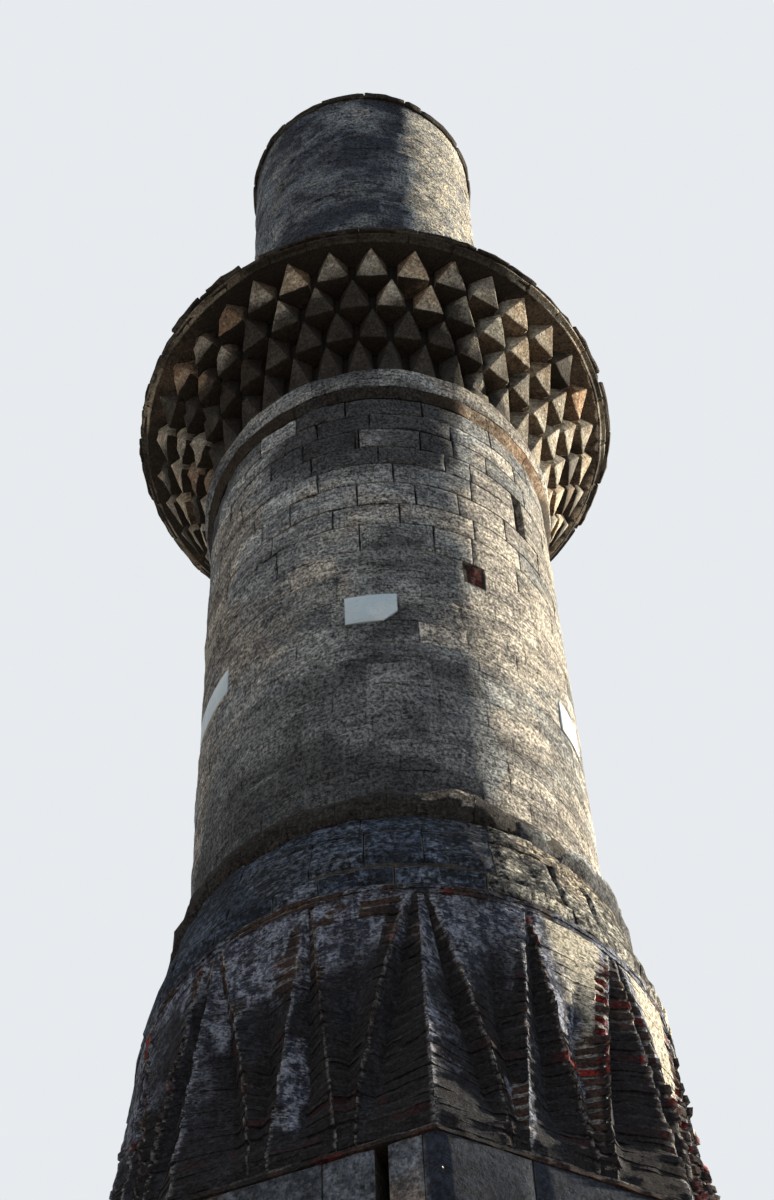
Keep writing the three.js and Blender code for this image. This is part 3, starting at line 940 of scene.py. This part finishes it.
# Lower and upper rolls: each course has its two heights along the profile and the joints seen from the front
rollSpec = {
    **baseSpec, "seed": "roll", "squares": (6, 10), "gap": 0, "edge": 0.012, "drop": 0.002, "roughScale": 6,
    "lean": 0.002, "proud": 0.002, "toneSpread": 0.16, "skew": 0.003, "wobble": 0.004, "unitRadius": 1.2,
    "stoneWidth": 17, "spread": 0.2, "outside": 0.9, "coreShare": 0.985, "sunnySide": (44, 150),
    "stainedSides": ((-80, -10), (30, 150)), "tones": (0.3, 0.6),
    "broken": {"tone": 0.9, "stand": 0.012, "soot": -0.2},
}
rolls = {
    "lowerRoll": {"node": "lower_roll", "soot": 1.3, "rough": 0.03, "pale": (27, 38, 0.55), "courses": [
        (0, 1, [-47, -34, -21.5, -8, 4.5, 17, 24, 38, 50, 63, 76, 89])]},
    "upperRoll": {"node": "upper_roll", "soot": 0.25, "rough": 0.015, "pale": (0, 0, 1), "courses": [
        (0, 0.3, [-62, -44, -27, -9, 7, 23, 35, 53, 79, 92]),
        (0.3, 1, [-71, -50, -26, -1.5, 20.7, 45.7, 66, 88])]},
}


def brokenRoll(u, w):  # how much is lost across and up a stone, each from -0.5 to 0.5
    return 0.05 * max(0, 0.35 - abs(w + 0.15)) + 0.03 * max(0, u)


def buildRoll(name, roll, spec):
    profile = profileOf(roll["node"], spec["outside"])
    place, length = profileWall(profile)
    foot, top = profile[0][1], profile[-1][1]
    rng = random.Random(name)
    lower = name == "lowerRoll"
    stones = []
    for t0, t1, seen in roll["courses"]:
        for a, b in closedLoop(rng, seen, spec["stoneWidth"], spec["spread"]):
            # the upper face and the sunny side take the lighter ashlar finish, the underside and the shaded
            # side the darker roll finish with more soot: lit and shaded copies, painted light and shade
            look = {"tone": rng.uniform(*spec["tones"]), "soot": 0.5 if t1 < 0.5 else 0}
            sunny = t0 > 0 or lower and within(a, spec["sunnySide"])
            stained = not lower and any(within(a, side) for side in spec["stainedSides"])
            look["material"] = 2 if sunny else 3 if stained else 0
            if lower and a == 24:  # this one stands out of the roll
                look = {**spec["broken"], "bite": brokenRoll}
            stones.append((a, b, t0, t1, look))

    def sootAndShadeAt(point):
        low = (point.z - foot) / (top - foot)
        bearing = bearingOf(point)
        left, right, above = roll["pale"]
        if left < bearing < right and low > above + 0.2 * noise.noise(point * 9):  # painted highlight: the roll's top is lighter here
            return -0.4
        # painted shade: darker towards the foot of the roll, its underside, and lighter on the sunlit side
        lit = between(litStops, bearing) * (0.4 + 0.8 * low)
        return roll["soot"] * (1.2 - 0.6 * low) - lit + 0.5 * noise.noise(point * 3)

    def pullIn(point):
        return squeezed(point, 1 if radiusOf(point) < boreRadius + 0.05 else spec["coreShare"])

    own = {**spec, "seed": name, "rough": roll["rough"], "length": length}
    materials = ["rollStone", "mortarBed", "ashlarStone", "stainedStone"]
    stonePiece(name, "ashlar", materials, [roll["node"]], pullIn, (stones, place, own, sootAndShadeAt))


for name, roll in rolls.items():
    buildRoll(name, roll, rollSpec)
print("rings laid")


# Shaft: squared blocks with open joints near the top, and joints lost under lime lower down.
# Each course gives its top level, the joints that show from the front, and the tones between them.
# stones towards the sunlit right mostly get tones near 0.3: darker painted stone that tempers the key light
shaftCourses = [
    (14.40, [-55, -38, -19, -5, 13, 27, 43, 58, 76], [0.45, 0.35, 0.45, 0.6, 0.35, 0.3, 0.6, 0.29]),
    (14.68, [-47, -30, -14, 6, 21, 39, 52, 69, 86], [0.5, 0.4, 0.35, 0.4, 0.3, 0.4, 0.8, 0.29]),
    (14.95, [-48, -27, -6, 14, 29, 54.5, 79.5], [0.3, 0.22, 0.4, 0.15, 0.3, 0.29]),
    (15.20, [-52, -35, -12, 3, 20, 33, 47, 70, 88], [0.3, 0.3, 0.35, 0.35, 0.4, 0.35, 0.7, 0.29]),
    (15.49, [-46, -28, -12, 13, 31.5, 47, 66, 84], [0.4, 0.25, 0.2, 0.45, 0.25, 0.6, 0.29]),
    (15.64, [-54, -38, -20, 2, 27, 46, 78.5], [0.45, 0.4, 0.5, 0.5, 0.45, 0.7]),
    (15.86, [-42, -25, -8, 8, 28.5, 43, 60, 79], [0.35, 0.5, 0.5, 0.5, 0.75, 0.55, 0.29]),
    (16.13, [-57, -35.5, -16, 3, 23, 42, 64, 88], [0.9, 0.5, 0.2, 0.5, 0.45, 0.6, 0.31]),
    (16.41, [-51, -20, 5, 30, 44, 53.9, 71, 90], [0.5, 0.25, 0.5, 0.3, 0.6, 0.75, 0.31]),
    (16.64, [-52, -32.5, -10.2, 4.7, 29.2, 44, 51.5, 70], [0.35, 0.6, 0.8, 0.45, 0.4, 0.3, 0.75]),
    (16.95, [-44, -15.5, 12.3, 35.4, 48, 65.4, 84], [0.55, 0.5, 0.52, 0.55, 0.65, 0.31]),
    (17.18, [-40, -17.7, 4, 25.1, 49.5, 68, 90], [0.5, 0.5, 0.6, 0.6, 0.75, 0.31]),
    (17.43, [-38, -22, -10.5, 12, 30.5, 44.8, 62.6, 80], [0.9, 0.6, 0.5, 0.65, 0.4, 0.8, 0.31]),
    (17.66, [-47, -25.5, -0.8, 23.8, 50, 69.8, 90], [0.7, 0.8, 0.55, 0.45, 0.85, 0.31]),
    (17.885, [-52, -32, -3, 19.3, 41.4, 50.5, 69.8, 88], [0.7, 0.5, 0.3, 0.35, 0.45, 0.6, 0.31]),
    (18.10, [-60, -40, -18.6, -6, 12, 13.2, 33.5, 45, 57.5, 76],
     [0.85, 0.7, 0.4, 0.05, 0, 0.95, 0.4, 0.5, 0.31]),
    (18.30, [-50, -31.5, -13, -1, 17, 44.5, 71.7, 92], [0.8, 0.6, 0.4, 0.12, 0.4, 0.8, 0.32]),
    (18.505, [-44, -23.5, -8.7, 9, 35, 61, 80, 98], [0.3, 0.9, 0.3, 0.3, 0.35, 0.29, 0.32]),
]
shaftSpec = {
    **baseSpec, "seed": "shaft", "squares": (12, 8), "unitRadius": 1.125, "stoneWidth": 21, "leastWidth": 0.8,
    "depth": 0.06, "edge": 0.014, "rough": 0.011, "toneSpread": 0.18, "wobbleScale": 13, "openAbove": 16.6,
    "closedRecess": 0.01, "openRecess": 0.045, "flushSide": (34, 155),
    "single": {  # stones unlike the rest, by where they start and how high they reach
        (44, 16.64): {"material": 2, "tone": 0.3, "soot": 0.4, "stand": -0.008, "gap": 0.026, "rough": 0.02},
        (28.5, 15.86): {"tone": 1.05, "soot": -0.1},
    },
    "flush": {"gap": 0.005, "drop": 0.0025, "rough": 0.004, "lean": 0.001, "proud": 0.001, "wobble": 0.004},
    "limed": {"gap": 0, "drop": 0.001},
    "open": {"gap": 0.004, "drop": 0.006, "edge": 0.008, "skew": 0.009, "wobble": 0.006, "lean": 0.005,
             "proud": 0.004, "seed": "shaftTop"},
    "tight": {"gap": 0, "drop": 0.0012, "wobble": 0.0015, "skew": 0.002, "lean": 0.003, "proud": 0.0015},
    # painted light and shade: the soot value drops sharply where the key light starts to reach, near bearing
    # 50, on top of real soot
    "sootStops": [(-100, -0.3), (-35, -0.2), (-8, -0.02), (25, 0.1), (44, 0.1), (52, -0.4), (95, -0.3),
                  (115, 0.1), (150, 0.1), (170, 0)],
    # soot and painted shade by height on the shaded side, above the foot
    "endStops": [(15.2, 0.25), (16.3, 0), (17.4, 0.05), (17.9, 0.5), (18.5, 0.6)],
}
shaftSlit = {"bearing": 71, "width": 0.09, "bottom": 17.405, "top": 17.835}


def buildShaft(spec):
    foot, top = levels("shaft_wall_2")
    wall = tapered("shaft_wall_2")
    rng = random.Random(spec["seed"])
    half = math.degrees(shaftSlit["width"] / 2 / wall(shaftSlit["top"]))
    slit = (shaftSlit["bearing"] - half, shaftSlit["bearing"] + half)
    opened, closed = [], []
    low = foot
    for high, seen, tones in shaftCourses:
        high = min(high, top)
        course = closedLoop(rng, seen, spec["stoneWidth"], spec["spread"])
        looks = [{"tone": tone} for tone in tones] + [{} for _ in course]
        holes = [slit] if low < shaftSlit["top"] - 0.03 and high > shaftSlit["bottom"] + 0.03 else []
        for (a, b), look in zip(course, looks):
            look.update(spec["flush"] if within((a + b) / 2, spec["flushSide"]) else {})
            look.update(spec["limed"] if low < spec["openAbove"] else {})
            look.update(spec["single"].get((a, high), {}))
            for x, y in spansOf([a, b], holes, spec["leastWidth"]):
                (opened if low > spec["openAbove"] else closed).append((x, y, low, high, look))
        low = high

    def sootAndShadeAt(point):
        bearing = bearingOf(point)
        ends = between([(foot, 0.5), *spec["endStops"]], point.z) * (1 - between(litStops, bearing))
        return between(spec["sootStops"], bearing) + ends + 0.4 * rugged(point, 1.6)

    materials, nodes = ["ashlarStone", "mortarBed", "clayBrick"], nodesLike("shaft_wall")
    seam = spec["openAbove"] + 0.05
    recess = pulledIn(wall, lambda z: spec["closedRecess"] if z < seam else spec["openRecess"])
    stonePiece("shaftStones", "ashlar", materials, nodes, recess,
               (closed, roundWall(wall), {**spec, **spec["tight"]}, sootAndShadeAt),
               (opened, roundWall(wall), {**spec, **spec["open"]}, sootAndShadeAt),
               cuts=[spec["openAbove"], spec["openAbove"] + 0.2])


buildShaft(shaftSpec)
print("shaft laid")


# Corbels: four tiers of pointed teeth, each a pyramid that hangs from the wall
corbelSpec = {
    "teeth": 34, "share": 0.8, "phases": (0.39, 0.89), "depth": 0.17, "soften": 0.004, "rough": 0.006,
    "recess": 0.055, "setBack": 0.03, "lift": 0.005, "segments": 160, "toneSpread": 0.16, "turnSpread": 0.4,
    "brokenSide": (-80, -22), "lostTo": (0.25, 0.7), "shadedSides": (-42, 42),
    # on the broken side, and on the rest
    "lostShare": (0.8, 0.05), "sootSpread": (0.35, 0.2), "stainedShare": (0.45, 0.03),
    # the lower tiers at the front are darkened, less on the sunny side: partly soot, partly painted shade
    "gloom": (1.5, 1.1, 0.35, 0), "gloomStops": [(-62, 0), (-44, 1), (30, 1), (52, 0.15), (70, 0)],
    "sootStops": [(-80, -0.05), (-30, -0.1), (-10, 0.0), (30, 0), (50, -0.1), (150, -0.2), (170, 0.1)],
}


def toothTemplate(low, high, height, spec):  # x sideways, y outwards from the axis, z up from its foot
    half = math.radians(360 / spec["teeth"] * spec["share"] / 2)
    side, face = low * math.sin(half), low * math.cos(half)
    bm = bmesh.new()
    back, upperFace = face - spec["depth"], face - spec["setBack"]
    corners = [(side * x * k, y, z) for x in (-1, 1)
               for k, y, z in ((1, face, 0), (0.94, upperFace, height), (0.85, back, 0), (0.85, back, height))]
    for corner in [*corners, (0, high, height)]:
        bm.verts.new(corner)
    bmesh.ops.convex_hull(bm, input=bm.verts)
    bmesh.ops.dissolve_limit(bm, angle_limit=0.02, verts=bm.verts, edges=bm.edges)
    bmesh.ops.bevel(bm, geom=bm.edges, offset=spec["soften"], affect="EDGES", segments=1, profile=0.5,
                    material=-1)
    bmesh.ops.triangulate(bm, faces=bm.faces)
    for length in (0.13, 0.075):
        front = [e for e in bm.edges if max(v.co.y for v in e.verts) > face - 0.01]
        bmesh.ops.subdivide_edges(bm, edges=[e for e in front if e.calc_length() > length], cuts=1)
        bmesh.ops.triangulate(bm, faces=bm.faces)
    bmesh.ops.recalc_face_normals(bm, faces=bm.faces)
    for f in bm.faces:  # painted shade: the foot and the sides get the darker material, the sloping front the lighter one
        f.material_index = 1 if f.normal.z < -0.9 else 2 if abs(f.normal.x) > 0.5 else 0
    return meshFrom(bm, "tooth")


def corbelWall(low, height, foot, spec):  # the wall behind a tier
    bm = bmesh.new()
    bmesh.ops.create_circle(bm, cap_ends=False, segments=spec["segments"], radius=low - spec["recess"])
    ring = list(bm.edges)
    for _ in range(4):
        verts, ring = extruded(bm, ring)
        bmesh.ops.translate(bm, verts=verts, vec=(0, 0, (height - spec["lift"]) / 4))
    bmesh.ops.translate(bm, verts=bm.verts, vec=(0, 0, foot + spec["lift"]))
    for v in bm.verts:
        v.co = squeezed(v.co, 1 + 0.006 * noise.noise(v.co * 7) / low)
    closeRing(bm, boreRadius)
    return bm


def buildCorbels(tier, spec):
    node = f"corbel_tier_{tier + 1}"
    foot, top = levels(node)
    high, low = reach(node), reach(node, foot)
    teeth, pitch = spec["teeth"], 360 / spec["teeth"]
    tooth = toothTemplate(low, high - 0.003, top - foot - 0.001, spec)
    rng = random.Random(node)
    phase = pitch * spec["phases"][tier % 2]
    bm = corbelWall(low, top - foot, foot, spec)
    surfaceLayers(bm)
    first, firstFace = len(bm.verts), len(bm.faces)
    for _ in range(teeth):
        bm.from_mesh(tooth)
    toneLayer, _, sootAndShadeLayer = surfaceLayers(bm)
    bm.verts.ensure_lookup_table()
    bm.faces.ensure_lookup_table()
    each, eachFace = len(tooth.vertices), len(tooth.polygons)
    bpy.data.meshes.remove(tooth)
    for index in range(teeth):
        bearing = phase + index * pitch
        away = (bearing + 180) % 360 - 180
        twist = rng.uniform(-spec["turnSpread"], spec["turnSpread"])
        turn = Matrix.Rotation(math.radians(bearing + twist), 3, "Z")
        sunny = between(litStops, away)
        # sunlit teeth get a darker tone: painted shade that tempers the key light
        tone = rng.gauss(0.55 - 0.25 * sunny, spec["toneSpread"])
        side = 0 if within(away, spec["brokenSide"]) else 1
        lost = rng.random() < spec["lostShare"][side]
        limit = low + (high - low) * (rng.uniform(*spec["lostTo"]) if lost else 1.0)
        worn = 3.0 if lost and side == 0 else 1.0
        ownSootAndShade = rng.gauss(0, spec["sootSpread"][side]) + between(spec["sootStops"], away)
        ownSootAndShade += spec["gloom"][tier] * between(spec["gloomStops"], away)
        stained = 2 if rng.random() < spec["stainedShare"][side] else 0
        # at the front the tooth sides take the dark soffit finish, painted shade; elsewhere they match the
        # front
        sides = 1 if within(away, spec["shadedSides"]) else stained
        for f in bm.faces[firstFace + index * eachFace:firstFace + (index + 1) * eachFace]:
            f.material_index = (stained, 1, sides)[f.material_index]
        for v in bm.verts[first + index * each:first + (index + 1) * each]:
            x, y, z = v.co
            tip = max(0, (y - low) / (high - low))
            place = turn @ Vector((x, -y, z + foot))
            rough = rugged(place, 9, 3, 2.1)
            if y > limit:
                y = limit + (y - limit) * 0.15 + 0.04 * rough
            y += spec["rough"] * worn * rough * (1 if y > low - 0.02 else 0) - 0.006 * tip
            x += spec["rough"] * worn * 0.7 * noise.noise(place * 11) * (1 - tip * 0.7)
            v.co = turn @ Vector((x, -y, z + foot))
            v[toneLayer] = tone
            # painted shade: darker at the foot of each tooth and towards the wall, lighter at the tip; the foot
            # gets more on the shaded side
            v[sootAndShadeLayer] = 0.3 - 0.45 * tip + 0.3 * noise.noise(place * 4) + ownSootAndShade
            v[sootAndShadeLayer] += 0.6 * (1 - sunny) if z < 0.003 else 0
    # painted shade: the wall behind the teeth gets the dark soffit finish and a high soot value, less on the
    # sunlit side
    for v in bm.verts[:first]:
        sunny = between(litStops, bearingOf(v.co))
        v[toneLayer], v[sootAndShadeLayer] = 0.2 + 0.3 * sunny, 1.0 - 0.8 * sunny
        for f in v.link_faces:
            f.material_index = 1
    materials = ["corbelStone", "shadedSoffitStone", "stainedStone"]
    finishPiece(bm, f"corbelTier{tier + 1}", materials, [node], 22)


for tier in range(4):
    buildCorbels(tier, corbelSpec)


# Cornice fillet under the slab
corniceSpec = {
    **rollSpec, "seed": "cornice", "squares": (6, 6), "gap": 0.003, "drop": 0.006, "rough": 0.007,
    "roughScale": 7, "depth": 0.08, "unitRadius": 1.6, "stoneWidth": 11.5, "spread": 0.25, "outside": 1.5,
    "coreRadius": 1.55,
    "sootStops": [(-90, 0.4), (-50, 0.2), (-25, 0.6), (0, 1.1), (45, 1.1), (60, 0.3), (150, 0.1), (170, 0.5)],
}


def buildCornice(spec):
    foot, top = levels("cornice")
    middle = profileOf("cornice", spec["outside"])[1:-1]
    place, length = profileWall([(reach("cornice", foot) - 0.002, foot), *middle, (reach("cornice"), top)])
    rng = random.Random(spec["seed"])
    joints = splitLoop(rng, 4, 360, spec["stoneWidth"], spec["spread"])
    stones = [(a, b, 0, 1, {"tone": rng.uniform(0.35, 0.8)}) for a, b in pairs(joints)]

    def sootAndShadeAt(point):
        return 0.2 + 0.7 * between(spec["sootStops"], bearingOf(point)) + 0.5 * noise.noise(point * 3)

    bm = bmesh.new()
    layStones(bm, stones, place, {**spec, "length": length}, sootAndShadeAt)
    first = len(bm.verts)
    # painted shade: the fillet's core takes the dark soffit finish, and the front is darker by its soot stops
    wallCore(bm, ["cornice"], pulledIn(steady(spec["coreRadius"]), steady(0.015)), 1)
    toneLayer, _, sootAndShadeLayer = surfaceLayers(bm)
    for v in list(bm.verts)[first:]:
        v[toneLayer], v[sootAndShadeLayer] = 0.35, between(spec["sootStops"], bearingOf(v.co))
    finishPiece(bm, "corniceFillet", ["corbelStone", "shadedSoffitStone"], ["cornice"])


buildCornice(corniceSpec)

# Slabs with broken edges: the balcony and the lid on top
slabSpec = {
    **rollSpec, "seed": "rim", "squares": (8, 5), "unitRadius": 1.65, "gap": 0.0025, "drop": 0.01, "edge": 0.02,
    "rough": 0.012, "roughScale": 8, "depth": 0.3, "proud": 0.003, "lean": 0.005, "wobble": 0.006,
    "stoneWidth": 13, "spread": 0.3, "inset": 0, "coreRadius": 1.53, "coreRecess": 0.03, "coreLower": 0.003,
    "lossMost": 0.02, "sinkMost": 0, "tones": (0.2, 0.6), "sootLevel": 0.7, "sootNoise": (0.6, 2.2),
    "stones": [  # from and to by bearing, and how far the edge is lost there
        (-86, -75, 0.003), (-75, -68, 0.004), (-68, -60, 0.016), (-60, -52.5, 0.018), (-52.5, -44, 0.026),
        (-44, -37, 0.026), (-37, -26, 0.001), (-26, -23.5, 0.016), (-23.5, -13, 0), (-13, -8, 0.026),
        (-8, 4, 0.008), (4, 17, 0.004), (17, 31, 0.006), (31, 46, 0.005), (46, 55, 0.007), (55, 63.5, 0.009),
        (63.5, 78, 0.018), (78, 92.3, 0), (92.3, 95, 0.026), (95, 109, -0.006), (109, 124, -0.008),
        (124, 137, 0), (137, 151, 0.024)],
}
lidSpec = {
    **slabSpec, "seed": "lid", "unitRadius": 0.9, "depth": 0.35, "rough": 0.008, "drop": 0.012, "wobble": 0.01,
    "proud": 0.002, "lean": 0.002, "gap": 0.001, "stoneWidth": 19, "spread": 0.35, "inset": 0.004,
    "coreRadius": None, "coreRecess": 0.035, "coreLower": 0, "lossMost": 0.025, "sinkMost": 0.02,
    "tones": (0.1, 0.45), "sootLevel": 0.65, "sootNoise": (0.4, 3),
    "stones": [
        (-100, -82, 0.006), (-82, -63, 0.004), (-63, -41, 0.01), (-41, -24, 0.006), (-24, -1, 0.014),
        (-1, 22, 0.007), (22, 44, 0), (44, 54, 0.003), (54, 82, 0.008), (82, 102, 0.01), (102, 124, 0.004),
        (124, 150, 0.008)],
}


def buildSlab(name, node, spec):
    foot, top = levels(node)
    outer = reach(node) - spec["inset"]
    rng = random.Random(spec["seed"])
    seen = spec["stones"]
    first, last = seen[0][0], seen[-1][1]
    rest = pairs(splitLoop(rng, last, 360 - (last - first), spec["stoneWidth"], spec["spread"]))
    stones = []
    for a, b, loss in [*seen, *((a, b, rng.uniform(0, spec["lossMost"])) for a, b in rest)]:
        high = top - rng.uniform(0, spec["sinkMost"]) if spec["sinkMost"] else top
        stones.append((a, b, foot, high, {"stand": -loss, "tone": rng.uniform(*spec["tones"])}))

    def sootAndShadeAt(point):
        amount, scale = spec["sootNoise"]
        return spec["sootLevel"] + amount * noise.noise(point * scale)

    recess = pulledIn(steady(spec["coreRadius"] or outer), steady(spec["coreRecess"]), top, spec["coreLower"])
    layer = (stones, roundWall(steady(outer)), spec, sootAndShadeAt)
    stonePiece(name, "rim_stone", ["rimStone"], [node], recess, layer)


buildSlab("balconySlab", "balcony_slab", slabSpec)
print("balcony made")


# Upper shaft: small rough courses, and the ragged slab that caps it
upperSpec = {
    "seed": "upper", "squares": (5, 4), "courseHeight": 0.19, "courseSpread": 0.15, "stoneWidth": 26,
    "spread": 0.35, "leastWidth": 3, "lintel": 9, "lintelClear": 8, "gap": 0, "edge": 0.011, "rough": 0.012,
    "roughScale": 6, "wobble": 0.0015, "wobbleScale": 12, "toneSpread": 0.1, "depth": 0.05, "lean": 0,
    "proud": 0, "skew": 0, "drop": 0.0005,
    # painted light and shade: the soot value drops sharply past bearing 44, where the key light reaches
    "sootStops": [(-100, 0.25), (-40, 0.3), (0, 0.35), (44, 0.4), (47, -0.6), (95, -0.5), (115, 0), (150, 0),
                  (170, 0.3)],
}
upperDoor = {"bearing": 180, "width": 0.62, "height": 1.7}


def buildUpper(spec):
    foot, top = levels("upper_wall_2")
    radius = reach("upper_wall_2")
    rng = random.Random(spec["seed"])
    head = foot + upperDoor["height"]
    half = math.degrees(math.asin(upperDoor["width"] / 2 / radius))
    left, right = upperDoor["bearing"] - half, upperDoor["bearing"] + half
    stones = []
    for z0, z1 in evenCourses(rng, [foot, head, top], spec["courseHeight"], spec["courseSpread"]):
        joints = splitLoop(rng, rng.uniform(-20, 20), 360, spec["stoneWidth"], spec["spread"])
        holes = [(left, right)] if z0 < head - 0.01 else []
        if abs(z0 - head) < 0.01:
            joints = withLintel(joints, left - spec["lintel"], right + spec["lintel"], spec["lintelClear"])
        stones += [(a, b, z0, z1, {}) for a, b in spansOf(joints, holes, spec["leastWidth"])]

    def sootAndShadeAt(point):
        return between(spec["sootStops"], bearingOf(point)) + 0.3 * rugged(point, 2.6)

    wall, nodes = steady(radius), nodesLike("upper_wall", "upper_door")
    stonePiece("upperShaft", "ashlar", ["upperStone", "mortarBed"], nodes, pulledIn(wall, steady(0.012)),
               (stones, roundWall(wall), {**spec, "unitRadius": radius}, sootAndShadeAt))


buildUpper(upperSpec)
buildSlab("lidSlab", "lid", lidSpec)
print("upper shaft made")


# Marble patches let into the shaft
patchSpec = {
    **shaftSpec, "squares": (7, 5), "unitRadius": 1.13, "gap": 0, "rough": 0.001, "drop": 0.004, "proud": 0,
    "lean": 0, "skew": 0.002, "wobble": 0.002, "edge": 0.006, "look": {"stand": 0.011, "tone": 0.6},
}
patches = {
    "marblePatchFront": {"bearings": (7.2, 22.6), "heights": (15.85, 16.13), "cut": (4.2, 0.8)},
    "marblePatchLeft": {"bearings": (-57, -35.5), "heights": (15.885, 16.12)},
    "marblePatchRight": {"bearings": (78.5, 90), "heights": (15.5, 15.79)},
}


def buildPatch(name, patch, spec):
    wall = tapered("shaft_wall_2")
    (left, right), (low, high) = patch["bearings"], patch["heights"]
    bm = bmesh.new()
    layStones(bm, [(left, right, low, high, spec["look"])], roundWall(wall), {**spec, "seed": name})
    if "cut" in patch:  # its lower corner is cut off, by so many degrees and at this slope
        width, slope = patch["cut"]
        away = polar(right + 90, 1, 0) - Vector((0, 0, slope))
        every = [*bm.verts, *bm.edges, *bm.faces]
        made = bmesh.ops.bisect_plane(bm, geom=every, plane_co=polar(right - width, wall(low), low),
                                      plane_no=away, clear_outer=True)
        rim = [g for g in made["geom_cut"] if isinstance(g, bmesh.types.BMEdge)]
        bmesh.ops.holes_fill(bm, edges=rim)
    finishPiece(bm, name, ["patchMarble"], [])


for name, patch in patches.items():
    buildPatch(name, patch, patchSpec)


# Studio: a pale floor, a soft key from the right and behind, and an even fill
studio = {
    "floorSize": 60, "floorColour": (0.4, 0.39, 0.38, 1), "keyBearing": 132, "keyHeight": 18,
    "keyStrength": 12.2, "keyAngle": 3, "keyColour": (1.0, 0.89, 0.71), "fill": 0.5, "coolBearing": 95,
    "warmFill": (0.96, 0.97, 0.98, 1), "coolFill": (0.76, 0.87, 1.0, 1), "lowFill": (0.66, 0.56, 0.46, 1),
    "backdrop": (0.80, 0.83, 0.86, 1),
}


def makeStudio(spec):
    bm = bmesh.new()
    bmesh.ops.create_grid(bm, x_segments=1, y_segments=1, size=spec["floorSize"])
    floor = placed("studioFloor", meshFrom(bm, "studioFloor"))
    paint = Finish("floorPaint", 0.8)
    paint.plug(paint.shader["Base Color"], spec["floorColour"])
    floor.data.materials.append(paint.material)
    floor.visible_diffuse = False  # the light from below comes from the fill alone
    lamp = bpy.data.lights.new("key", "SUN")
    lamp.energy, lamp.angle = spec["keyStrength"], math.radians(spec["keyAngle"])
    lamp.color = spec["keyColour"]
    key = placed("key", lamp)
    towards = polar(spec["keyBearing"], 1, math.tan(math.radians(spec["keyHeight"])))
    key.rotation_mode = "QUATERNION"
    key.rotation_quaternion = towards.to_track_quat("Z", "Y")
    world = bpy.data.worlds.new("studioWorld")
    world.use_nodes = True
    made = Nodes(world.node_tree)
    towards = made.node("ShaderNodeTexCoord", output="Generated")
    aside, upwards = (
        made.node("ShaderNodeVectorMath", {"operation": "DOT_PRODUCT"}, {0: towards, 1: way}, "Value")
        for way in (polar(spec["coolBearing"], 1, 0), (0, 0, 1)))
    colour = made.mixed(aside.ramp(-0.7, 0.7), spec["warmFill"], spec["coolFill"])
    colour = made.mixed(upwards.ramp(-0.45, 0.25), spec["lowFill"], colour)
    fill = made.node("ShaderNodeBackground", None, {"Color": colour, "Strength": spec["fill"]})
    backdrop = made.node("ShaderNodeBackground", None, {"Color": spec["backdrop"]})
    seen = made.node("ShaderNodeLightPath", output="Is Camera Ray")
    light = made.node("ShaderNodeMixShader", None, {0: seen, 1: fill, 2: backdrop})
    made.plug(made.tree.nodes["World Output"].inputs["Surface"], light)
    scene.world = world
    scene.view_settings.view_transform = "Standard"


makeStudio(studio)

print("studio ready")
